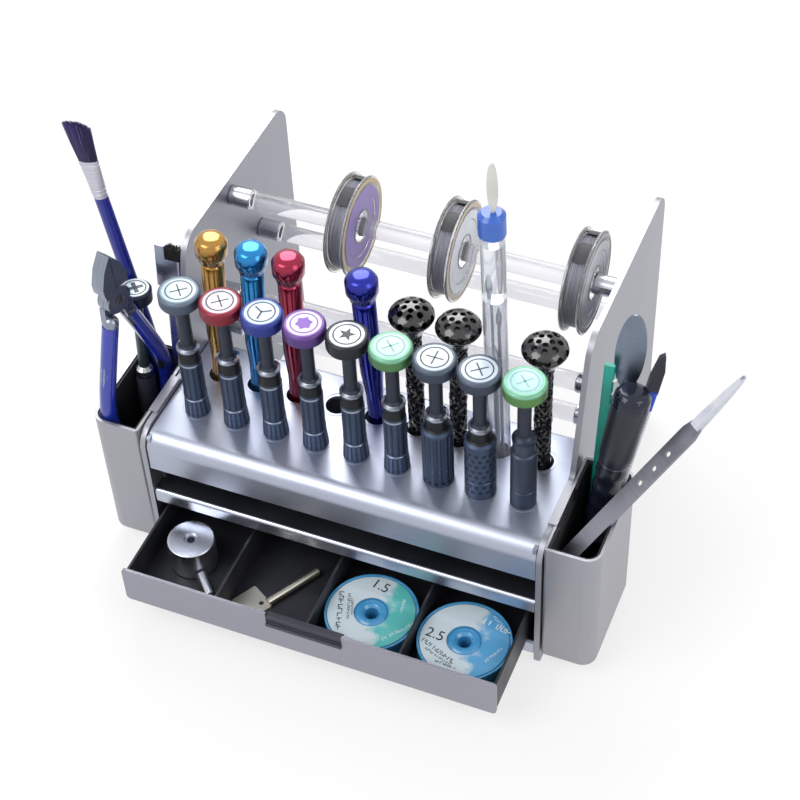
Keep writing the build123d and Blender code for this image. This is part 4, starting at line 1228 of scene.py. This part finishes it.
    def case(self) -> None:
        """The clear case with its blue cap and pale tip."""
        node = FRAME["nodes"]["tip_case"]
        frame = self.frame_at(7, -1.5)
        clear = Clear("case_clear", (0.9, 0.92, 0.97), 0.05).build()
        blue = Moulded("case_cap_blue", (0.02, 0.11, 0.5), 0.3, 1400.0, 0.06, coat=0.4).build()
        tip = Moulded("case_tip_pale", (0.62, 0.62, 0.58), 0.3, 1400.0, 0.06).build()
        node.data.materials.clear()
        for material in (clear, blue, tip):
            node.data.materials.append(material)
        local = frame.inverted()
        for polygon in node.data.polygons:
            spot = local @ polygon.center
            height = spot.z / MM
            flat = math.hypot(spot.x, spot.y) / MM
            if height > 161.2 and flat < 4.8 and abs(spot.y) < 0.0012:
                polygon.material_index = 2 if height > 161.6 else 1
            elif height > 152.0:
                polygon.material_index = 1
            else:
                polygon.material_index = 0
        parts = []
        steel = TurnedMetal("case_bits_steel", (0.6, 0.62, 0.68), frame, 0.25).build()
        for i, (x, y, low, high, radius) in enumerate(
            ((1.6, 0.8, -38.0, 96.0, 0.9), (-1.8, 0.4, -38.0, 118.0, 0.7), (0.2, -2.0, -38.0, 72.0, 1.1))
        ):
            stations = [(radius, low), (radius, high - 6.0), (radius * 1.6, high - 5.0), (radius * 1.6, high), (0.2, high + 6.0)]
            bit = finish_with(Bench.turned(f"bit_{i}", stations, 12), steel)
            parts.append(Bench.place(bit, Matrix.Translation(Vector((x, y, 0)) * MM)))
        piece = Bench.join("case_bits", parts)
        Bench.smooth(piece)
        Bench.place(piece, frame)
        settle(piece, "tip_case", "tool_steel")

    def build(self) -> None:
        """Finish the whole back row."""
        self.anodised()
        for number in (1, 2, 3):
            self.lattice(number)
        self.case()


# --- left pocket tools ------------------------------------------------------------------------


@dataclass
class LeftTools:
    """Paint brush, side cutters, stored driver and antistatic brush."""

    brush_frame: Matrix = field(
        default_factory=lambda: leaning_frame((-118.7, 27.9, POCKET_SEAT), (-157.2, 31.8, 246.1), 2.4)
    )
    brush_length: float = 237.5
    bristle_length: float = 24.5
    cutter_frame: Matrix = field(default_factory=Matrix)
    blue: Colour = (0.012, 0.026, 0.33)

    def paint_brush(self) -> None:
        """Lacquered handle, crimped ferrule and a fan of fine bristles."""
        ferrule = self.brush_length - self.bristle_length - 23.0
        bands = (
            (0.0, (0.01, 0.018, 0.25), 0.0, 0.24),
            (ferrule, (0.6, 0.6, 0.68), 0.85, 0.42),
        )
        dress("paint_brush", Banded("brush_handle", self.brush_frame, bands, self.brush_length).build())
        metal = TurnedMetal("ferrule_steel", (0.6, 0.6, 0.68), self.brush_frame, 0.36).build()
        rings = []
        for offset, wide, thick in ((3.0, 4.22, 3.1), (5.2, 4.4, 3.04), (20.5, 5.76, 2.63)):
            Bench.clear()
            bpy.ops.mesh.primitive_torus_add(
                major_radius=MM, minor_radius=0.06 * MM, major_segments=48, minor_segments=8
            )
            ring = bpy.context.object
            ring.scale = (wide, thick, 3.0)
            bpy.ops.object.transform_apply(scale=True)
            rings.append(finish_with(ring, metal))
            Bench.place(ring, Matrix.Translation((0, 0, (ferrule + offset) * MM)))
        crimps = Bench.join("ferrule_crimps", rings)
        Bench.smooth(crimps, 60.0)
        Bench.place(crimps, self.brush_frame)
        settle(crimps, "paint_brush", "collar_steel")
        self.bristles()

    def bristles(self) -> None:
        """Many fine tapered bristles, cut at a slant, in one piece."""
        rng = random.Random(7)
        base = self.brush_length - self.bristle_length
        Bench.clear()
        bpy.ops.mesh.primitive_cone_add(
            vertices=3, radius1=0.16 * MM, radius2=0.05 * MM, depth=MM, location=(0, 0, 0.5 * MM)
        )
        strand = bpy.context.object
        bpy.ops.object.transform_apply(location=True)
        hair = strand.data
        mesh = bpy.data.meshes.new("bristle_tuft")
        whole = bmesh.new()
        for _ in range(1500):
            u, v = rng.uniform(-1, 1), rng.uniform(-1, 1)
            if u * u + v * v > 1.0:
                continue
            root = Vector((u * 5.6, v * 2.25, base - 0.4))
            length = 23.9 - 1.0 * abs(u) - rng.uniform(0, 1.3) - 2.6 * (0.5 + 0.5 * u)
            tip = Vector((u * 8.3 + rng.uniform(-0.4, 0.4), v * 1.9 + rng.uniform(-0.3, 0.3), base + length))
            run = tip - root
            turned = run.to_track_quat("Z", "Y").to_matrix().to_4x4()
            place = Matrix.Translation(root * MM) @ turned @ Matrix.Scale(run.length, 4, (0, 0, 1))
            first = len(whole.verts)
            whole.from_mesh(hair)
            whole.verts.ensure_lookup_table()
            for vertex in whole.verts[first:]:
                vertex.co = place @ vertex.co
        whole.to_mesh(mesh)
        whole.free()
        Bench.drop(strand)
        piece = bpy.data.objects.new("bristle_tuft", mesh)
        bpy.context.scene.collection.objects.link(piece)
        recipe = Recipe("bristle_navy")
        recipe.constants(Roughness=0.5, Sheen_Weight=0.15)
        hairs = recipe.noise(recipe.coordinates(self.brush_frame, (3000.0, 3000.0, 60.0)), 1.0, 2.0)
        height = recipe.axis(recipe.coordinates(self.brush_frame), "Z")
        along = recipe.spread(height, 0.0, 1.0, base * MM, (base + 22) * MM)
        low = recipe.ramp(hairs, [(0.3, (0.006, 0.004, 0.03)), (0.7, (0.03, 0.02, 0.1))])
        high = recipe.ramp(hairs, [(0.3, (0.02, 0.012, 0.1)), (0.7, (0.07, 0.045, 0.24))])
        recipe.colour(recipe.tint(along, low, high))
        finish_with(piece, recipe.material)
        Bench.place(piece, self.brush_frame)
        settle(piece, "paint_brush", "navy_bristle", "brush_bristles")

    def cutters(self) -> None:
        """Ground jaws with glossy blue grip sleeves."""
        across = Vector((0.25, 0.966, 0.06)).normalized()
        facing = Vector((0.968, -0.25, -0.0155))
        facing = (facing - across * facing.dot(across)).normalized()
        up = facing.cross(across)
        turned = Matrix((across, up, facing)).transposed().to_4x4()
        frame = Matrix.Translation(Vector((-128.1, -4.8, 167.3)) * MM) @ turned
        steel = TurnedMetal("cutter_steel", (0.3, 0.33, 0.4), frame, 0.3, 700.0).build()
        dress("cutter_front_half", steel)
        dress("cutter_rear_half", steel)
        soften(24.0, "cutter_front_half", "cutter_rear_half")
        sleeve = Moulded("grip_blue", self.blue, 0.2, 1400.0, 0.05, coat=0.7).build()
        dark = Moulded("cutter_pin_dark", (0.03, 0.03, 0.035), 0.3, 1400.0).build()
        grips = []
        for side in (1, -1):
            foot_x = 10.0 * side
            foot_y = (POCKET_SEAT + 4.2 - 167.3 - across.z * foot_x) / up.z
            path = [(7.0, -16.0), (12.5, -33.0), (20.0, -58.0), (22.4, -76.0), (18.0, -110.0)]
            points = [Vector((side * x, y, 0)) * MM for x, y in path]
            points.append(Vector((foot_x, foot_y, 0)) * MM)
            smooth_points = self.curve_through(points)
            body = finish_with(Bench.rod_along("sleeve", smooth_points, 4.45, 5), sleeve)
            grips.append(body)
        piece = Bench.join("cutter_grips", grips)
        Bench.smooth(piece, 50.0)
        Bench.place(piece, frame)
        settle(piece, "cutters", "blue_lacquer")
        pin = Bench.turned("cutter_pin", [(2.6, 3.6), (2.6, 4.5), (2.1, 4.8), (1.2, 4.8), (1.0, 4.3), (0.3, 4.3)], 32)
        finish_with(pin, dark)
        Bench.smooth(pin)
        Bench.place(pin, frame)
        settle(pin, "cutters", "tool_steel")
        self.cutter_frame = frame

    def curve_through(self, knots: Sequence[Vector], per_run: int = 6) -> list[Vector]:
        """Points of a smooth line through the knots."""
        from mathutils.geometry import interpolate_bezier

        points: list[Vector] = []
        for i in range(len(knots) - 1):
            before = knots[max(i - 1, 0)]
            after = knots[min(i + 2, len(knots) - 1)]
            start, end = knots[i], knots[i + 1]
            first = start + (end - before) / 6
            second = end - (after - start) / 6
            run = interpolate_bezier(start, first, second, end, per_run)
            points += run if not points else run[1:]
        return points

    def stored_driver(self) -> None:
        """Slate barrel, pale ring, thin neck and dark cap with its inlay."""
        frame = leaning_frame((-133.3, 10.2, POCKET_SEAT), (-131.9, 20.2, 149.5), 1.5)
        bands = (
            (0.0, (0.4, 0.4, 0.43), 1.0, 0.3),
            (50.0, (0.16, 0.16, 0.22), 0.7, 0.4),
            (78.6, (0.55, 0.57, 0.6), 1.0, 0.26),
            (85.0, (0.07, 0.095, 0.11), 0.6, 0.36),
            (131.2, (0.015, 0.02, 0.05), 0.3, 0.36),
        )
        dress("stored_driver", Banded("stored_finish", frame, bands, 140.0).build())
        soften(28.0, "stored_driver")
        look = CapLook(
            (0.012, 0.02, 0.05), (0.016, 0.026, 0.055), (0.62, 0.72, 0.78), (0.015, 0.025, 0.05), Mark.BOLD, 45
        )
        seat = frame @ Matrix.Translation((0, 0, 139.02 * MM))
        piece = FrontRow().inlay("stored_inlay", look, 7.4, seat)
        settle(piece, "stored_driver", "label_white")

    def antistatic(self) -> None:
        """Silver holder with a block of short black bristles."""
        frame = leaning_frame((-118.9, 20.4, POCKET_SEAT), (-120.9, 40.6, 165.0), 2.0)
        node = FRAME["nodes"]["antistatic_brush"]
        silver = TurnedMetal("holder_silver", (0.42, 0.45, 0.56), frame, 0.3, 600.0).build()
        black = Moulded("holder_bristle_base", (0.012, 0.012, 0.014), 0.5, 3000.0, 0.4).build()
        node.data.materials.clear()
        node.data.materials.append(silver)
        node.data.materials.append(black)
        local = frame.inverted()
        for polygon in node.data.polygons:
            spot = local @ polygon.center
            if spot.z > 0.1475 and spot.x > -0.0009:
                polygon.material_index = 1
        rng = random.Random(11)
        Bench.clear()
        bpy.ops.mesh.primitive_cone_add(
            vertices=4, radius1=0.2 * MM, radius2=0.1 * MM, depth=MM, location=(0, 0, 0.5 * MM)
        )
        strand = bpy.context.object
        bpy.ops.object.transform_apply(location=True)
        mesh = bpy.data.meshes.new("black_bristles")
        whole = bmesh.new()
        for _ in range(300):
            root = Vector((rng.uniform(-0.4, 6.6), rng.uniform(-2.2, 2.2), rng.uniform(147.4, 149.0)))
            length = 7.6 + rng.uniform(-0.8, 0.4)
            place = Matrix.Translation(root * MM) @ Matrix.Scale(length, 4, (0, 0, 1))
            first = len(whole.verts)
            whole.from_mesh(strand.data)
            whole.verts.ensure_lookup_table()
            for vertex in whole.verts[first:]:
                vertex.co = place @ vertex.co
        whole.to_mesh(mesh)
        whole.free()
        Bench.drop(strand)
        piece = bpy.data.objects.new("black_bristles", mesh)
        bpy.context.scene.collection.objects.link(piece)
        finish_with(piece, black)
        Bench.place(piece, frame)
        settle(piece, "antistatic_brush", "navy_bristle")

    def build(self) -> None:
        """Finish every tool in the left pocket."""
        self.paint_brush()
        self.cutters()
        self.stored_driver()
        self.antistatic()


# --- right pocket tools -----------------------------------------------------------------------


@dataclass
class RightTools:
    """Ribbed driver, tweezers, marked knife, tufted strip and spatula."""

    def ribbed_driver(self) -> None:
        """Black rubber handle with a pale line above the ribs."""
        frame = leaning_frame((119.0, 4.0, POCKET_SEAT), (138.4, 27.2, 162.0), 1.8)
        bands = (
            (0.0, (0.5, 0.5, 0.53), 1.0, 0.3),
            (58.0, (0.008, 0.011, 0.022), 0.1, 0.24),
            (106.6, (0.2, 0.21, 0.25), 0.8, 0.3),
            (107.3, (0.014, 0.018, 0.028), 0.1, 0.36),
            (145.0, (0.008, 0.012, 0.03), 0.1, 0.14),
        )
        dress("handled_driver", Banded("ribbed_handle", frame, bands, 155.0).build())
        soften(50.0, "handled_driver")

    def tweezers(self) -> None:
        """Ground steel with a frosted guard over the points."""
        frame = leaning_frame((119.9, -18.3, 76.2), (172.4, 38.6, 146.3), 0.0, (-0.42, -0.5, 0.76))
        dress("tweezers", TurnedMetal("tweezer_steel", (0.27, 0.275, 0.32), frame, 0.38, 500.0).build())
        stations = [
            (3.6, 96.0), (3.7, 98.0), (3.6, 104.0), (3.1, 112.0), (2.6, 120.0), (1.9, 127.0), (1.2, 130.6), (0.5, 131.6),
        ]
        guard = Bench.turned("tip_guard", stations, 32)
        guard.scale = (1.0, 0.6, 1.0)
        Bench.hold(guard)
        bpy.ops.object.transform_apply(scale=True)
        recipe = Recipe("guard_frosted")
        recipe.constants(Transmission_Weight=0.25, IOR=1.4)
        cloud = recipe.noise(recipe.coordinates(frame), 160.0, 3.0)
        recipe.colour(recipe.ramp(cloud, [(0.3, (0.62, 0.65, 0.74)), (0.7, (0.78, 0.8, 0.87))]))
        recipe.rough(recipe.spread(cloud, 0.25, 0.45))
        recipe.bump((cloud, 0.1, 0.05))
        finish_with(guard, recipe.material)
        Bench.smooth(guard, 80.0)
        Bench.place(guard, frame)
        settle(guard, "tweezers", "label_white")

    def knife(self) -> None:
        """Marked knife: white scale, blue ring and dark blade guard."""
        frame = leaning_frame((121.0, 14.2, POCKET_SEAT), (148.0, 41.0, 176.5), 3.4, (0.4, -0.9, 0.0))
        bands = (
            (0.0, (0.02, 0.04, 0.35), 0.1, 0.3),
            (40.0, (0.74, 0.76, 0.84), 0.0, 0.35),
            (134.0, (0.02, 0.08, 0.6), 0.1, 0.25),
            (146.0, (0.01, 0.012, 0.025), 0.2, 0.18),
        )
        dress("marked_knife", Banded("knife_finish", frame, bands, 172.0).build())
        ink = Moulded("scale_ink", (0.03, 0.03, 0.06), 0.5, 900.0, 0.05).build()
        rng = random.Random(5)
        parts = []
        for i in range(30):
            height = 62.0 + i * 2.3
            long = 3.4 if i % 5 == 0 else rng.uniform(1.2, 2.2)
            tick = Bench.slab("tick", (long, 0.06, 0.45), (1.9 - long / 2, -1.82, height))
            parts.append(finish_with(tick, ink))
        piece = Bench.join("knife_scale", parts)
        Bench.place(piece, frame)
        settle(piece, "marked_knife", "label_white")

    def strip_and_spatula(self) -> None:
        """Teal strip with pale tufts, and the oval steel spatula."""
        frame = leaning_frame((119.2, 26.3, POCKET_SEAT), (123.6, 34.6, 170.0), 3.0)
        node = FRAME["nodes"]["tufted_strip"]
        node.data.materials.clear()
        node.data.materials.append(Moulded("strip_teal", (0.01, 0.36, 0.28), 0.35, 1600.0).build())
        node.data.materials.append(Moulded("tuft_white", (0.85, 0.88, 0.88), 0.6, 2200.0, 0.4).build())
        local = frame.inverted()
        for polygon in node.data.polygons:
            if (local @ polygon.center).x > 0.00285:
                polygon.material_index = 1
        blade = leaning_frame((123.7, 22.3, POCKET_SEAT), (133.0, 42.8, 197.0), 1.6)
        dress("spatula", TurnedMetal("spatula_steel", (0.22, 0.26, 0.33), blade, 0.36, 900.0).build())

    def build(self) -> None:
        """Finish every tool in the right pocket."""
        self.ribbed_driver()
        self.tweezers()
        self.knife()
        self.strip_and_spatula()


# --- studio -----------------------------------------------------------------------------------


@dataclass
class Studio:
    """Floor, lamps, world and the camera at the photographed angle."""

    azimuth: float = 24.42
    elevation: float = 46.51
    roll: float = -3.07
    lens: float = 84.9
    eye: tuple[float, float, float] = (0.2936, -0.5882, 0.8233)

    def camera(self) -> None:
        """Place the camera."""
        az, el, turn = (math.radians(v) for v in (self.azimuth, self.elevation, self.roll))
        back = Vector((math.sin(az) * math.cos(el), -math.cos(az) * math.cos(el), math.sin(el)))
        right = (-back).cross(Vector((0, 0, 1))).normalized()
        up = right.cross(-back).normalized()
        level = right * math.cos(turn) + up * math.sin(turn)
        upright = -right * math.sin(turn) + up * math.cos(turn)
        lens = bpy.data.cameras.new("photo_camera")
        lens.lens = self.lens
        lens.sensor_width = 36.0
        lens.clip_start = 0.01
        eye = bpy.data.objects.new("photo_camera", lens)
        bpy.context.scene.collection.objects.link(eye)
        eye.matrix_world = Matrix.Translation(self.eye) @ Matrix((level, upright, back)).transposed().to_4x4()
        bpy.context.scene.camera = eye

    def lamp(self, name: str, place: Sequence[float], size: float, power: float) -> None:
        """One soft square lamp aimed at the deck."""
        light = bpy.data.lights.new(name, "AREA")
        light.shape = "SQUARE"
        light.size = size
        light.energy = power
        lamp = bpy.data.objects.new(name, light)
        bpy.context.scene.collection.objects.link(lamp)
        aim = Vector((0, 0.03, 0.1)) - Vector(place)
        lamp.matrix_world = Matrix.Translation(place) @ aim.to_track_quat("-Z", "Y").to_matrix().to_4x4()

    def floor(self) -> None:
        """A wide pale floor that keeps the soft shadow."""
        Bench.clear()
        bpy.ops.mesh.primitive_plane_add(size=6.0, location=(0, 0, -0.0002))
        plane = bpy.context.object
        plane.name = "studio_floor"
        bpy.ops.object.transform_apply(location=True)
        recipe = Recipe("floor_pale")
        recipe.constants(Roughness=0.9, Base_Color=(0.9, 0.9, 0.91, 1))
        seen = recipe.math("MULTIPLY", self.seen_share(recipe.tree), 0.72)
        glow = recipe.node("ShaderNodeEmission")
        glow.inputs["Color"].default_value = (1, 1, 1, 1)
        mixed = recipe.node("ShaderNodeMixShader")
        recipe.link(seen, mixed.inputs["Fac"])
        recipe.link(recipe.shader.outputs["BSDF"], mixed.inputs[1])
        recipe.link(glow.outputs["Emission"], mixed.inputs[2])
        output = recipe.tree.nodes["Material Output"]
        recipe.link(mixed.outputs["Shader"], output.inputs["Surface"])
        finish_with(plane, recipe.material)

    def seen_share(self, tree: bpy.types.NodeTree) -> bpy.types.NodeSocket:
        """One for camera, glossy and transmission rays, else nought."""
        rays = tree.nodes.new("ShaderNodeLightPath")
        total = rays.outputs["Is Camera Ray"]
        for name in ("Is Glossy Ray", "Is Transmission Ray"):
            most = tree.nodes.new("ShaderNodeMath")
            most.operation = "MAXIMUM"
            tree.links.new(total, most.inputs[0])
            tree.links.new(rays.outputs[name], most.inputs[1])
            total = most.outputs["Value"]
        return total

    def world(self) -> None:
        """White where the camera, metal and glass see it, softer as light."""
        world = bpy.data.worlds.new("studio_world")
        bpy.context.scene.world = world
        world.use_nodes = True
        tree = world.node_tree
        back = tree.nodes["Background"]
        back.inputs["Color"].default_value = (1.0, 1.0, 1.0, 1)
        level = tree.nodes.new("ShaderNodeMapRange")
        level.inputs["To Min"].default_value = 0.6
        level.inputs["To Max"].default_value = 1.0
        tree.links.new(self.seen_share(tree), level.inputs["Value"])
        tree.links.new(level.outputs["Result"], back.inputs["Strength"])

    def build(self) -> None:
        """Set up the whole studio."""
        self.floor()
        self.world()
        self.lamp("sheen", (-0.36, 0.82, 1.0), 0.75, 10.0)
        self.lamp("key", (-0.55, -0.7, 1.15), 0.8, 8.0)
        self.lamp("side", (1.0, -0.2, 0.7), 0.6, 3.0)
        self.camera()
        bpy.context.scene.view_settings.view_transform = "Standard"


FRAME: dict = {}


def main() -> None:
    """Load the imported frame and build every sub-assembly."""
    logging.basicConfig(level=logging.INFO, format="%(name)s: %(message)s")
    FRAME.update(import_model())
    for assembly in (Cabinet(), Pockets()):
        assembly.dress()
    for assembly in (Reels(), Drawer(), FrontRow(), BackRow(), LeftTools(), RightTools()):
        assembly.build()
        LOG.info("%s built", type(assembly).__name__)
    Studio().build()
    Bench.clear()


if __name__ == "__main__":
    main()
